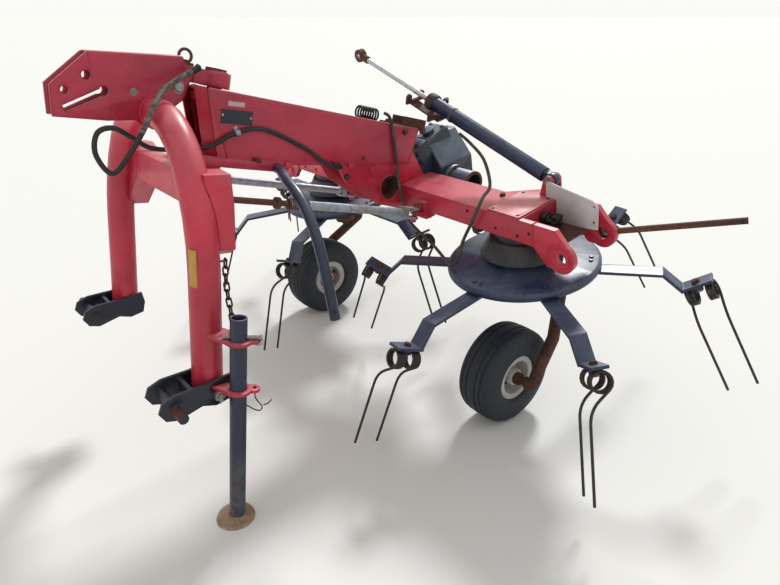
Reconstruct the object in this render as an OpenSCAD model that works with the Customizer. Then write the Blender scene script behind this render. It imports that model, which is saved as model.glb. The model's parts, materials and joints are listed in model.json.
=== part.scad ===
// Centre section of a three-point-mounted hay tedder, parked on two wheels and a stand.
// +X points forward to the tractor, +Y to the machine's left, +Z up, and Z = 0 is the ground.
// Lengths are in millimetres.

/* [Layout] */
// Distance between the two rotor centres
rotor_pitch = 1150; // [1000:10:1300]
// Height of the rotors' arm ends at the rotor axis
rotor_h = 541; // [480:1:620]
// Forward and downward tilt of the rotors and the cross beam
rotor_tilt = 10.6; // [4:0.2:16]
// Rise of the main beam towards the headstock
beam_rake = 14; // [8:0.5:18]
// Distance of the swivel pin ahead of the rotor line
swivel_x = 950; // [850:5:1050]
// Height of the swivel centre
swivel_z = 1100; // [1000:5:1200]
// Forward lean of the headstock's legs towards the ground
leg_lean = 6.6; // [0:0.2:12]

/* [Rotors] */
// Radius of the rotor disc
disc_r = 272; // [220:1:320]
// Length of an arm from the rotor axis to its bend
arm_bend_r = 468; // [400:1:520]
// Width of an arm's flat bar
arm_w = 58; // [40:1:80]
// Thickness of an arm's flat bar
arm_t = 10; // [6:1:16]
// Turning of the left rotor's first arm from straight ahead
phase_left = 0; // [-30:1:30]
// Turning of the right rotor's first arm from straight ahead
phase_right = 30; // [0:1:60]
// Outer radius of a tine's coil
coil_r = 35; // [25:1:45]
// Thickness of the tine wire
wire_d = 9; // [6:0.5:12]
// Distance from the rotor axis to the middle of a pair of coils
arm_end_r = 593; // [560:1:640]
// Upward slope of the coils' axis away from the rotor
mount_rise = 30; // [0:1:40]
// Length of a tine square to its coil's axis
tine_drop = 350; // [260:5:400]
// Sideways reach of a tine from its coil to its tip
tine_side = 74; // [40:2:120]

/* [Wheels] */
// Outer diameter of a tyre
tyre_d = 370; // [300:1:450]
// Width of a tyre
tyre_w = 150; // [100:1:180]
// Distance of the wheel axle ahead of the rotor line
wheel_x = 107; // [0:1:200]
// Distance of a wheel's middle plane outside the rotor axis
wheel_out = 37; // [0:1:80]
// Diameter of the wheel spindle
spindle_d = 32; // [20:1:50]

/* [Frame] */
// Width of the main beam
beam_w = 150; // [100:1:200]
// Depth of the cross beam, front to rear
cross_d = 232; // [160:1:300]
// Height of the cross beam
cross_h = 80; // [50:1:120]
// Half length of the cross beam to its hinge ends
cross_half = 806; // [700:1:900]
// Outer radius of a hinge eye
eye_r = 42; // [30:1:60]
// Radius of a hinge eye's bore
eye_bore_r = 20; // [10:0.5:30]
// Wall of the pressed and welded boxes
wall = 8; // [4:1:16]

/* [Headstock] */
// Outer diameter of a headstock leg
leg_d = 89; // [60:1:110]
// Half distance between the legs at their lower ends
leg_half = 367; // [300:1:420]
// Gap between the two top-link plates
plate_gap = 52; // [44:1:90]
// Thickness of a top-link plate
plate_t = 10; // [6:1:16]
// Radius of the top-link pin holes
top_hole_r = 12.75; // [8:0.25:16]
// Diameter of a lower hitch pin
hitch_d = 28; // [20:1:37]
// Diameter of the swivel pin
king_d = 44; // [30:1:60]

/* [Stand and cylinder] */
// Diameter of the parking stand's tube
stand_d = 48; // [36:1:60]
// Height of the parking stand's tube
stand_h = 660; // [500:5:800]
// Diameter of the stand's foot
foot_d = 116; // [80:1:160]
// Diameter of the folding cylinder's barrel
barrel_d = 52; // [40:1:70]
// Diameter of the folding cylinder's rod
rod_d = 20; // [14:1:30]

/* [Model] */
// Name of the piece to build, or all

/* [Hidden] */
$fn = 48;
wire_r = wire_d / 2;
leg_r = leg_d / 2;
stand_r = stand_d / 2;
nose_x = 1336;
mount_turn = -4;
coil_z = -37;
coil_turns = 4;
coil_mid = 34;
coil_out = coil_mid + (coil_turns - 1) * wire_r;
tine_in = 19;
tip_run = (coil_out - tine_in) * cos(mount_rise) + tine_drop * sin(mount_rise);
tip_out = arm_end_r + tip_run * cos(mount_turn) + tine_side * sin(mount_turn);
tip_side = tip_run * sin(mount_turn) - tine_side * cos(mount_turn);
tip_z = coil_z + (coil_out - tine_in) * sin(mount_rise) - tine_drop * cos(mount_rise);
rear_reach = tip_out * cos(rotor_tilt) - tip_z * sin(rotor_tilt);
x_mid = (nose_x - rear_reach) / 2;
y_mid = (tip_out * sin(120) + tip_side * cos(120) - tip_out) / 2;
half_pitch = rotor_pitch / 2;
king_r = king_d / 2;
run = 0.05;
fit = 0.3;
plate_out = plate_gap / 2 + plate_t;

module place() {
  translate([-x_mid, -y_mid, 0]) children();
}

// The rotor frame: side is 1 on the left and -1 on the right, 0 in the middle.
module tilted(side) {
  place() translate([0, side * half_pitch, rotor_h]) rotate([0, rotor_tilt, 0]) children();
}

// The beam frame: its origin is the swivel's centre, and its x runs up along the beam.
module raked() {
  place() translate([swivel_x, 0, swivel_z]) rotate([0, -beam_rake, 0]) children();
}

// The headstock frame: its origin is level with the legs' lower ends.
module leaned() {
  place() translate([1151, 0, 391]) rotate([0, -leg_lean, 0]) children();
}

// A round cord or pipe through a list of points, as one closed skin.
function unit(v) = v / norm(v);
function tangent(p, i) =
  i == 0 ? unit(p[1] - p[0])
  : i == len(p) - 1 ? unit(p[i] - p[i - 1])
  : unit(unit(p[i + 1] - p[i]) + unit(p[i] - p[i - 1]));
function seed(t) = abs(t[2]) < 0.9 ? [0, 0, 1] : [1, 0, 0];
function ring(c, t, u, r, n) = [
  for (k = [0:n - 1]) c + r * (cos(360 * k / n) * u + sin(360 * k / n) * cross(t, u))
];
function carries(p, i, u) = i == len(p) - 1 ? [u] : concat([u], carries(p, i + 1, next_u(p, i + 1, u)));
function next_u(p, i, u) = unit(u - tangent(p, i) * (u * tangent(p, i)));
function rings(p, us, r, n) = [for (i = [0:len(p) - 1]) each ring(p[i], tangent(p, i), us[i], r, n)];
function sides(m, n) = [
  for (i = [0:m - 2]) for (k = [0:n - 1])
    [i * n + k, (i + 1) * n + k, (i + 1) * n + (k + 1) % n, i * n + (k + 1) % n]
];
function ends(m, n) = [[for (k = [0:n - 1]) k], [for (k = [0:n - 1]) m * n - 1 - k]];
// Extra points along a smooth curve through the given ones.
function curve_at(a, b, c, d, t) =
  0.5 * (2 * b + (c - a) * t + (2 * a - 5 * b + 4 * c - d) * t * t + (3 * b - a - 3 * c + d) * t * t * t);
function pick(p, i) = p[max(0, min(len(p) - 1, i))];
function smooth(p, k) = concat(
  [for (i = [0:len(p) - 2]) for (j = [0:k - 1])
    curve_at(pick(p, i - 1), p[i], p[i + 1], pick(p, i + 2), j / k)],
  [p[len(p) - 1]]
);

module pipe(p, r, n) {
  us = carries(p, 0, unit(cross(tangent(p, 0), seed(tangent(p, 0)))));
  polyhedron(points = rings(p, us, r, n), faces = concat(sides(len(p), n), ends(len(p), n)), convexity = 10);
}

// A cylinder lying along Y, with its middle at the origin.
module across(r, l) {
  rotate([90, 0, 0]) cylinder(r = r, h = l, center = true);
}

// An upright plate in the X-Z plane, spread evenly about Y = 0.
module upright(points, t) {
  rotate([90, 0, 0]) translate([0, 0, -t / 2]) linear_extrude(height = t) polygon(points);
}

beam_top = 116;
pivot_x = -60;
half_w = beam_w / 2;
BEAM_SIDE = [[-4, beam_top], [-868, beam_top], [-848, -16], [-358, -74], [-290, -78], [-58, -78]];
BEAM_VOID = [
  [60, beam_top - 12], [-900, beam_top - 12], [-900, -60], [-392, -120], [-392, -58],
  [-286, -66], [60, -66]
];
FORK = [
  [28, 118], [28, -118], [-60, -122], [-120, -112], [-300, -half_w],
  [-300, half_w], [-120, 112], [-60, 122]
];

// The box-section beam from the swivel back to the centre box, with its lower fork plate.
module main_beam() {
  color([0.70, 0.10, 0.13]) raked() difference() {
    union() {
      upright(BEAM_SIDE, beam_w);
      translate([0, 0, -104]) linear_extrude(height = 26) polygon(FORK);
      translate([pivot_x, 0, -104]) cylinder(r = king_r + 22, h = 38);
      translate([-265, half_w + 2, -91]) cube([52, 22, 22], center = true);
    }
    difference() {
      upright(BEAM_VOID, beam_w - 2 * wall);
      translate([pivot_x, 0, -110]) cylinder(r = king_r + 22, h = 44);
      translate([pivot_x - 40, 0, beam_top - 30]) cube([200, beam_w, 24], center = true);
    }
    translate([pivot_x, 0, -120]) cylinder(r = king_r + run, h = 260);
  }
}

BOX_SIDE = [
  [440, 1010], [454, 903], [420, 842], [279, 742], [20, 654], [-52, 664],
  [-28, 706], [112, 938], [150, 980]
];
box_y = half_w - wall;
gear_out = 235;

// A frame square to the gearbox's mounting face, which leans back over the cross beam.
module geared() {
  place() translate([0, 0, 840]) rotate([0, 31, 0]) children();
}

// The pressed plates under the beam that carry the gearbox and the two cross beams.
module centre_box() {
  color([0.68, 0.10, 0.13]) difference() {
    union() {
      for (s = [-1, 1]) place() translate([0, s * (box_y - wall / 2), 0]) upright(BOX_SIDE, wall);
      geared() translate([51, 0, -4]) cube([12, 2 * box_y - 2, 240], center = true);
      place() translate([150, 0, 704]) rotate([0, -19, 0]) cube([200, 2 * box_y - 2, 8], center = true);
    }
    place() translate([218, 0, 798]) across(46, 400);
    geared() translate([40, 0, -10]) rotate([0, 90, 0]) cylinder(r = 46, h = 40);
  }
}

// The cast gearbox with its two open output necks and the input neck inside the centre box.
module gearbox() {
  color([0.20, 0.23, 0.26]) difference() {
    union() {
      geared() translate([5, 0, -2]) cube([80, 128, 236], center = true);
      geared() translate([-50, 0, -42]) across(88, 116);
      geared() translate([-88, 0, 48]) cube([150, 96, 74], center = true);
      geared() translate([-100, 0, 96]) cylinder(r = 26, h = 24, center = true);
      place() translate([-75, 0, 800]) across(46, 2 * gear_out);
      place() translate([-75, 0, 800]) across(56, 2 * gear_out - 190);
      geared() translate([20, 0, -10]) rotate([0, 90, 0]) cylinder(r = 42, h = 110);
      for (z = [-80, -20, 40]) geared() translate([-20, 0, z]) cube([110, 124, 8], center = true);
    }
    for (s = [-1, 1]) place() translate([-75, s * gear_out, 800]) across(36, 220);
    geared() translate([112, 0, -10]) rotate([0, 90, 0]) cylinder(r = 32, h = 60);
  }
}

cross_lo = 205;
cross_hi = cross_lo + cross_h;
cross_front = 115;
eye_y = 827;
eye_z = 193;
rear_x = cross_front - cross_d - 5;
strut_y = 200;
strut_z = -186;
strut_rear = -815;
strut_front = -15;
PLAN = [
  [cross_front, box_y], [cross_front, cross_half], [rear_x, cross_half],
  [rear_x, 560], [-44, 470], [-44, box_y]
];
HOLLOW = [
  [cross_front - 22, 664], [cross_front - 22, 900], [rear_x + 22, 900], [rear_x + 22, 664]
];
CHEEK = [
  [720, cross_lo], [720, cross_hi], [cross_half, cross_hi],
  [eye_y + 36, eye_z + 30], [eye_y + 20, eye_z - 46], [cross_half - 30, eye_z - 44]
];

// One half of the cross beam: a flat box with an open end between two hinge eyes.
module cross_half_beam(side) {
  mirror([0, side < 0 ? 1 : 0, 0]) {
    difference() {
      union() {
        translate([0, 0, cross_lo]) linear_extrude(height = cross_h) polygon(PLAN);
        for (x = [cross_front - 20, rear_x]) {
          translate([x, 0, 0]) rotate([90, 0, 90]) linear_extrude(height = 20) polygon(CHEEK);
          translate([x, eye_y, eye_z]) rotate([0, 90, 0]) cylinder(r = eye_r + 8, h = 20);
        }
        translate([cross_front, 200, 218]) cube([44, 56, 66], center = true);
      }
      translate([0, 0, cross_lo + 10]) linear_extrude(height = 120) polygon(HOLLOW);
      translate([rear_x + 40, eye_y, eye_z]) rotate([0, 90, 0]) cylinder(r = eye_r + 8, h = cross_d - 60);
      translate([-200, eye_y, eye_z]) rotate([0, 90, 0]) cylinder(r = eye_bore_r + 2, h = 400);
    }
  }
}

// The tongue and upright pin that hold the rear end of a strut.
module strut_tongue(side) {
  translate([strut_rear - 28, side * strut_y, strut_z]) cube([66, 40, 14], center = true);
  translate([strut_rear, side * strut_y, strut_z - 34]) cylinder(r = 10, h = 68);
}

module cross_beam(side) {
  tilted(0) cross_half_beam(side);
  raked() strut_tongue(side);
}

ram_x = -96;
ram_y = 635;
ram_z = 345;
ram_slope = 20;
ram_pin_r = 12;

RAM_EAR = [
  [ram_y - 40, cross_hi - 4], [ram_y + 24, cross_hi - 4], [ram_y + 20, ram_z + 8],
  [ram_y + 8, ram_z + 20], [ram_y - 8, ram_z + 20], [ram_y - 20, ram_z + 8]
];

// The two ears and pin that carry the folding cylinder's base.
module ram_ears() {
  for (x = [ram_x - 22, ram_x + 14]) translate([x, 0, 0]) rotate([90, 0, 90])
    linear_extrude(height = 8) polygon(RAM_EAR);
  translate([ram_x - 26, ram_y, ram_z]) rotate([0, 90, 0]) cylinder(r = ram_pin_r, h = 52);
}
module cross_beam_left() {
  color([0.70, 0.11, 0.14]) union() {
    cross_beam(1);
    tilted(0) ram_ears();
  }
}
module cross_beam_right() {
  color([0.70, 0.11, 0.14]) union() cross_beam(-1);
}

// The thin bolted lid on top of each cross beam.
module cover_plate(side) {
  color([0.76, 0.30, 0.30]) tilted(0) translate([19, side * 590, cross_hi + 3]) difference() {
    cube([182, 138, 6], center = true);
    for (x = [-78, 78]) for (y = [-54, 54]) translate([x, y, 0]) cylinder(r = 5.5, h = 20, center = true);
  }
}
module cover_plate_left() { cover_plate(1); }
module cover_plate_right() { cover_plate(-1); }

// The still housing between a cross beam and its rotor, with the still shaft through the rotor.
shaft_r = 30;
module hub(side) {
  color([0.10, 0.11, 0.13]) tilted(side) union() {
    translate([0, 0, 165]) cylinder(r = 96, h = cross_lo - 165);
    translate([0, 0, 108]) cylinder(r1 = 150, r2 = 112, h = 62);
    translate([0, 0, -52]) cylinder(r = shaft_r, h = 170);
  }
}
module hub_left() { hub(1); }
module hub_right() { hub(-1); }

GUARD = [
  [634, 293], [634, 344], [650, 350], [815, 322], [838, 302],
  [838, 224], [770, 215], [676, 215], [676, 293]
];

// The pale bent sheet over the open joint at the left end; the right one is missing.
module joint_guard() {
  color([0.78, 0.78, 0.76]) tilted(0) union() {
    difference() {
      translate([-66, 0, 0]) rotate([90, 0, 90]) linear_extrude(height = 4) polygon(GUARD);
      for (z = [300, 246]) translate([-80, 822, z]) rotate([0, 90, 0]) cylinder(r = 5, h = 40);
    }
    translate([-71, 634, 293]) cube([6, 8, 36]);
  }
}

// The bent pipe that hangs from the beam and guards the left rotor.
GUARD_START = [715, half_w + 13.4, 948];
GUARD_PIPE = [
  [715, half_w + 34, 948], [731, 150, 946], [752, 215, 935],
  [762, 300, 905], [768, 365, 850], [770, 410, 780], [770, 446, 680], [768, 480, 560]
];
module guard_tube() {
  color([0.12, 0.15, 0.20]) place() pipe(concat([GUARD_START], smooth(GUARD_PIPE, 3)), 17, 14);
}

// A rusty link bar left hanging on the rear hinge eye.
module rear_bar() {
  color([0.38, 0.20, 0.15]) tilted(0) translate([rear_x - 14, eye_y, eye_z]) difference() {
    union() {
      rotate([0, 90, 0]) cylinder(r = 30, h = 14);
      translate([6, 14, 0]) rotate([-90, 0, 24]) translate([0, 0, 4]) rotate([10, 0, 0])
        cylinder(r = 10.5, h = 392);
    }
    translate([-30, 0, 0]) rotate([0, 90, 0]) cylinder(r = 15, h = 60);
    translate([14, -60, -60]) cube([200, 600, 200]);
  }
}

rotor_arm_z = 40;
ARMS = [0, 60, 120, 180, 240, 300];

DISC = [
  [shaft_r + run, 55], [110, 55], [110, 62], [disc_r - 18, 60], [disc_r - 10, 48], [disc_r, 48],
  [disc_r, 62], [disc_r - 10, 72], [150, 84], [110, 96], [shaft_r + run, 96]
];

// A pressed disc with a turned-down rim, on the hub ring that turns on the still shaft.
module rotor_disc(side) {
  color([0.16, 0.19, 0.24]) tilted(side) union() {
    rotate_extrude() polygon(DISC);
    difference() {
      cylinder(r = 92, h = 56);
      translate([0, 0, -1]) cylinder(r = shaft_r + run, h = 60);
    }
  }
}
module rotor_disc_left() { rotor_disc(1); }
module rotor_disc_right() { rotor_disc(-1); }

mount_low = coil_r + 1.3;
mount_t = 10;
mount_in = 46;
mount_h = mount_low + mount_t / 2;
drop_x = arm_end_r - mount_in * cos(mount_rise) - mount_h * sin(mount_rise) - arm_bend_r;
drop_z = rotor_arm_z - arm_t / 2 - coil_z + mount_in * sin(mount_rise) - mount_h * cos(mount_rise);
drop_turn = atan2(drop_z, drop_x);
drop_l = norm([drop_x, drop_z]);

// The frame of one pair of tines: its x runs out and up along the coils' axis.
module mounted() {
  translate([arm_end_r, 0, coil_z]) rotate([0, 0, mount_turn]) rotate([0, -mount_rise, 0]) children();
}

// One arm: a flat bar that drops near its end and carries a sloping mounting plate.
module arm() {
  difference() {
    union() {
      translate([96, -arm_w / 2, rotor_arm_z - arm_t]) cube([arm_bend_r - 96, arm_w, arm_t]);
      translate([arm_bend_r, 0, rotor_arm_z - arm_t / 2]) rotate([0, drop_turn, 0])
        translate([-4, 1 - arm_w / 2, -arm_t / 2]) cube([drop_l + 7, arm_w - 2, arm_t]);
      mounted() translate([0, 0, mount_h]) cube([104, 54, mount_t], center = true);
      mounted() translate([0, 0, mount_low - 8]) cube([26, 30, 20], center = true);
    }
    mounted() translate([0, 0, coil_r - wire_r]) rotate([0, 90, 0])
      cylinder(r = wire_r + fit, h = 60, center = true);
  }
}
module rotor_arms(side, phase) {
  color([0.17, 0.20, 0.26]) tilted(side) union() {
    for (a = ARMS) rotate([0, 0, phase + a]) arm();
    difference() {
      translate([0, 0, 26]) cylinder(r = 130, h = 29);
      cylinder(r = 92 + fit, h = 100);
    }
  }
}
module rotor_arms_left() { rotor_arms(1, phase_left); }
module rotor_arms_right() { rotor_arms(-1, phase_right); }

// A pair of wire tines: two coils joined by a bar through the arm's clamp, and two legs.
module tine_pair() {
  mounted() union() {
    translate([0, 0, coil_r - wire_r]) rotate([0, 90, 0]) cylinder(r = wire_r, h = 60, center = true);
    for (end = [-1, 1]) {
      translate([end * coil_mid, 0, 0]) rotate([0, 90, 0]) rotate_extrude($fn = 32) coil_profile();
      pipe(leg_path(end * coil_out), wire_r, 8);
    }
  }
}
module coil_profile() {
  inner = coil_r - wire_d - 0.8;
  outer = coil_r + 0.8;
  polygon(concat(
    [for (i = [0:coil_turns]) [inner, (i - coil_turns / 2) * wire_d]],
    [for (i = [coil_turns * 2:-1:0]) [i % 2 == 0 ? outer - 2.4 : outer, (i / 2 - coil_turns / 2) * wire_d]]
  ));
}
leave = 37;
leave_run = 81;
wire_path = coil_r - wire_r;
leave_y = wire_path * sin(leave);
leave_z = -wire_path * cos(leave);
bend_y = leave_y - leave_run * cos(leave);
bend_z = leave_z - leave_run * sin(leave);
function mix(a, b, w) = a + (b - a) * w;
function arc_of(a, b, c, w) = mix(mix(a, b, w), mix(b, c, w), w);
// A tine's leg leaves its coil on a slant, bends, and runs on straight to its tip.
function leg_path(x) =
  leg_points([x, leave_y, leave_z], [x, bend_y, bend_z], [x - tine_in, -tine_side, -tine_drop]);
function leg_points(from, bend, tip) = concat(
  [mix(from, bend, -0.05)],
  [for (w = [0:0.2:1]) arc_of(mix(from, bend, 0.5), bend, mix(bend, tip, 0.15), w)],
  [tip]
);
module tines(side, phase) {
  color([0.16, 0.15, 0.16]) tilted(side) union() {
    for (a = ARMS) rotate([0, 0, phase + a]) tine_pair();
  }
}
module tines_left() { tines(1, phase_left); }
module tines_right() { tines(-1, phase_right); }

wheel_z = tyre_d / 2;
spindle_r = spindle_d / 2;
spindle_end = wheel_out - 62;

CRANK = [
  [-146, 64, 506], [-146, 64, 470], [-145, 70, 442], [-30, 140, 322],
  [60, 158, 236], [92, 166, 200], [104, 160, 187], [107, 140, wheel_z]
];

// The rusty leg that cranks from under the rotor's still shaft down to the wheel's spindle.
module wheel_leg(side) {
  color([0.25, 0.15, 0.12]) union() {
    tilted(side) translate([0, 0, -72]) cylinder(r = 46, h = 20);
    tilted(side) rotate([0, 0, side * 153]) translate([0, -28, -72]) cube([150, 56, 16]);
    place() translate([0, side * half_pitch, 0]) mirror([0, side < 0 ? 1 : 0, 0]) union() {
      pipe(CRANK, 23, 16);
      translate([wheel_x, spindle_end, wheel_z]) rotate([-90, 0, 0])
        cylinder(r = spindle_r, h = 150 - spindle_end);
      translate([wheel_x, wheel_out + 62, wheel_z]) rotate([-90, 0, 0]) cylinder(r = spindle_r + 8, h = 14);
    }
  }
}
module wheel_leg_left() { wheel_leg(1); }
module wheel_leg_right() { wheel_leg(-1); }

rim_r = 76;
RIM = [
  [spindle_r + run, -58], [32, -58], [32, -30], [60, -22], [60, -60], [rim_r + 11, -62],
  [rim_r + 11, -56], [rim_r, -52], [rim_r, 52], [rim_r + 11, 56], [rim_r + 11, 62], [66, 60],
  [62, 8], [32, 2], [32, 57], [spindle_r + run, 57]
];
TYRE = [
  [rim_r + fit, -51], [rim_r + fit, 51], [rim_r + 12, 55], [rim_r + 13, 66], [98, 73], [128, 75],
  [164, 70], [178, 60], [182, 50], [182, 46], [178, 44], [178, 40], [184, 38], [184, 24],
  [179, 22], [179, 18], [185, 16], [185, -16], [179, -18], [179, -22], [184, -24], [184, -38],
  [178, -40], [178, -44], [182, -46], [182, -50], [178, -60], [164, -70], [128, -75], [98, -73],
  [rim_r + 13, -66], [rim_r + 12, -55]
];

module wheel_at(side) {
  place() translate([wheel_x, side * (half_pitch + wheel_out), wheel_z])
    rotate([-90 * side, 0, 0]) children();
}
module rim_left() {
  color([0.72, 0.72, 0.68]) wheel_at(1) rotate_extrude() polygon(RIM);
}
module rim_right() {
  color([0.72, 0.72, 0.68]) wheel_at(-1) rotate_extrude() polygon(RIM);
}
// Ribbed tyres: the profile holds the grooves.
module tyre_left() {
  color([0.07, 0.07, 0.08]) wheel_at(1) rotate_extrude($fn = 64) polygon(TYRE);
}
module tyre_right() {
  color([0.07, 0.07, 0.08]) wheel_at(-1) rotate_extrude($fn = 64) polygon(TYRE);
}

arc_turn = 54;
splay = 2;
stub = plate_out + 4.3;
leg_high = 763.7;
spread = 1.85;
out_per_arc = spread * (cos(splay) - sin(arc_turn)) + sin(arc_turn);
down_per_arc = spread * (cos(arc_turn) - sin(splay)) + 1 - cos(arc_turn);
arc_in = (leg_half - stub - leg_high * tan(splay)) / (out_per_arc - down_per_arc * tan(splay));
arc_out = spread * arc_in;
cross_z = 574;

arc_y = stub - (arc_out - arc_in) * sin(arc_turn);
arc_z = leg_high - arc_in + (arc_in - arc_out) * cos(arc_turn);
LEG = concat(
  [[0, plate_out, leg_high]],
  [for (a = [0:9:arc_turn]) [0, stub + arc_in * sin(a), leg_high - arc_in + arc_in * cos(a)]],
  [for (a = [arc_turn + 8.5:8.5:90 - splay]) [0, arc_y + arc_out * sin(a), arc_z + arc_out * cos(a)]],
  [[0, leg_half, 0]]
);

// One bent leg, from a top-link plate out and down to its lower end.
module bent_leg(side, r) {
  mirror([0, side < 0 ? 1 : 0, 0]) pipe(LEG, r, 24);
}

// The flat-ended boss through a leg that the hitch bracket's two plates seat on.
module foot_boss(side) {
  translate([0, side * leg_half, 42]) across(20, 2 * leg_r + 8);
}

lug_r = 39;
lug_t = 9;
lug_low = 48;
lug_rise = (stand_h - 660) * 0.3;
lug_high = 200 + lug_rise;
stand_x = -47;
stand_y = leg_half + 100;
LUG_ROOT = [
  [26, leg_half + 14], [-30, leg_half - 20], [stand_x - 34, stand_y - 18], [stand_x + 26, stand_y + 29]
];

// The stand's two guide lugs on the left leg.
module stand_lugs() {
  for (z = [lug_low, lug_high]) translate([0, 0, z]) difference() {
    linear_extrude(height = lug_t) union() {
      translate([stand_x, stand_y]) circle(r = lug_r);
      polygon(LUG_ROOT);
      translate([stand_x - 38, stand_y + 16]) circle(r = 20);
    }
    translate([stand_x, stand_y, -1]) cylinder(r = stand_r + run, h = 30);
    translate([stand_x - 42, stand_y + 18, -1]) cylinder(r = 6, h = 30);
  }
}

module headstock_leg_left() {
  color([0.70, 0.09, 0.13]) leaned() union() {
    bent_leg(1, leg_r);
    foot_boss(1);
    translate([-64, leg_half - 5, 404 + lug_rise]) rotate([0, 90, 0]) cylinder(r = peg_r, h = 40);
    difference() {
      stand_lugs();
      translate([0, leg_half, 0]) rotate([splay, 0, 0]) cylinder(r = leg_r - 10, h = 300);
    }
  }
}
module headstock_leg_right() {
  color([0.70, 0.09, 0.13]) leaned() union() {
    bent_leg(-1, leg_r);
    foot_boss(-1);
  }
}

peg_r = 3.5;
cross_w = 2 * (leg_half - 147);
GUSSET = [
  [cross_w / 2 - 24, 44], [leg_half - 105, 66], [leg_half - 37, 62], [leg_half - 15, -20],
  [leg_half - 6, -140], [leg_half - 37, -160], [cross_w / 2 - 14, -44]
];

// The box between the legs with its two gussets, and the lower swivel boss.
module crossbar() {
  color([0.70, 0.09, 0.13]) difference() {
    union() {
      leaned() translate([-51, 0, cross_z]) cube([78, cross_w, 88], center = true);
      for (s = [0, 1]) leaned() mirror([0, s, 0]) translate([-90, 0, cross_z]) rotate([90, 0, 90])
        linear_extrude(height = 78) polygon(GUSSET);
      raked() translate([pivot_x, 0, -160]) cylinder(r = 46, h = 50);
      raked() translate([pivot_x / 2, 0, -135]) cube([100, 84, 50], center = true);
      for (s = [-1, 1]) raked() strut_ears(s);
    }
    raked() translate([pivot_x, 0, -200]) cylinder(r = king_r + fit, h = 200);
    for (s = [-1, 1]) leaned() bent_leg(s, leg_r + fit);
    for (s = [-1, 1]) raked() translate([strut_front, s * strut_y, strut_z - 13]) cylinder(r = 27, h = 26);
  }
}

// The two ears and pin for a strut's front eye.
module strut_ears(side) {
  for (z = [-26, 16]) translate([0, side * strut_y, strut_z + z]) union() {
    translate([strut_front, 0, 0]) cylinder(r = 20, h = 10);
    translate([strut_front, -20, 0]) cube([56, 40, 10]);
  }
  translate([strut_front, side * strut_y, strut_z - 30]) cylinder(r = 10, h = 60);
}

PLATE = [
  [nose_x, 1164], [1328, 1245], [1221, 1321], [968, 1299], [952, 1272],
  [952, 1225], [980, 1178], [1060, 1130], [1200, 1140]
];
top_x = 1233;
top_z = 1262;

// The two top-link plates with the upper swivel bracket between their rear ends.
module top_link_plates() {
  color([0.72, 0.10, 0.14]) difference() {
    union() {
      for (s = [-1, 1]) place() translate([0, s * (plate_out - plate_t / 2), 0]) upright(PLATE, plate_t);
      raked() translate([0, 0, 145]) cube([120, plate_gap + 4, 44], center = true);
      raked() translate([pivot_x, 0, 122]) cylinder(r = 46, h = 46);
      place() translate([1118, 0, 1211]) across(16, plate_gap + 4);
      place() translate([990, 0, 1216]) across(13, 2 * plate_out + 14);
    }
    place() translate([top_x, 0, top_z]) across(top_hole_r, 200);
    place() translate([1293, 0, 1228]) across(11, 200);
    place() translate([1118, 0, 1211]) across(8, 200);
    place() translate([1195, 0, 1219]) across(13, 200);
    place() translate([1249, 0, 1200]) rotate([0, 19, 0]) cube([116, 200, 19], center = true);
    raked() translate([pivot_x, 0, 60]) cylinder(r = king_r + fit, h = 160);
  }
}

// The swivel pin with its head on the upper bracket.
module swivel_pin() {
  color([0.30, 0.20, 0.16]) raked() union() {
    translate([pivot_x, 0, -168]) cylinder(r = king_r, h = 340);
    translate([pivot_x, 0, 168]) cylinder(r = king_r + 10, h = 10);
  }
}

pin_x = 1267;
pin_z = 421;
hitch_in = leg_half - 65;
hitch_end = leg_half + 119;
BRACKET = [
  [1098, 470], [1180, 462], [1262, 462], [1300, 448], [1312, 420], [1296, 392],
  [1262, 381], [1190, 398], [1150, 384], [1104, 392], [1092, 430]
];

// A forked bracket around a leg's lower end, with the lower hitch pin through its nose.
module hitch_bracket(side) {
  color([0.09, 0.10, 0.12]) difference() {
    union() {
      for (y = [-1, 1]) place() translate([0, side * leg_half + y * (leg_r + 8), 0]) upright(BRACKET, 8);
      place() translate([1210, side * leg_half, 421]) cube([12, 2 * leg_r + 10, 60], center = true);
      place() translate([pin_x, side * (hitch_in + hitch_end) / 2, pin_z])
        across(hitch_d / 2, hitch_end - hitch_in);
      place() translate([1143, side * (leg_half + leg_r + 16), 423]) across(13, 14);
    }
    place() translate([pin_x, side * (hitch_end - 12), pin_z - 30]) cylinder(r = 5, h = 60);
    if (side == 1) leaned() translate([-70, leg_half + leg_r, lug_low - 1.5]) cube([86, 26, lug_t + 3]);
  }
}
module hitch_bracket_left() { hitch_bracket(1); }
module hitch_bracket_right() { hitch_bracket(-1); }

// A shackle standing on the top-link plates, for lifting.
module lifting_ring() {
  color([0.45, 0.36, 0.33]) raked() union() {
    translate([40, 0, 172]) cube([40, 40, 10], center = true);
    translate([40, 0, 172 + 22]) rotate([90, 0, 0]) rotate_extrude($fn = 32)
      translate([19, 0]) circle(r = 4.5, $fn = 16);
  }
}

// The parking stand's tube on its round foot, with its cross pin above the upper lug.
module stand_leg() {
  color([0.12, 0.15, 0.20]) difference() {
    union() {
      leaned() translate([stand_x, stand_y, -386]) cylinder(r = stand_r, h = stand_h);
      leaned() translate([stand_x, stand_y, lug_high + 16]) rotate([90, 0, 60]) translate([0, 0, -62])
        cylinder(r = 6, h = 104);
      place() translate([1156 + stand_x + 391 * sin(leg_lean), stand_y, 0])
        cylinder(r1 = foot_d / 2, r2 = foot_d / 2 - 4, h = 9);
    }
    leaned() translate([stand_x, stand_y, 200]) cylinder(r = stand_r - 5, h = 200);
    place() translate([0, 0, -50]) cube([4000, 4000, 100], center = true);
  }
}

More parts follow.
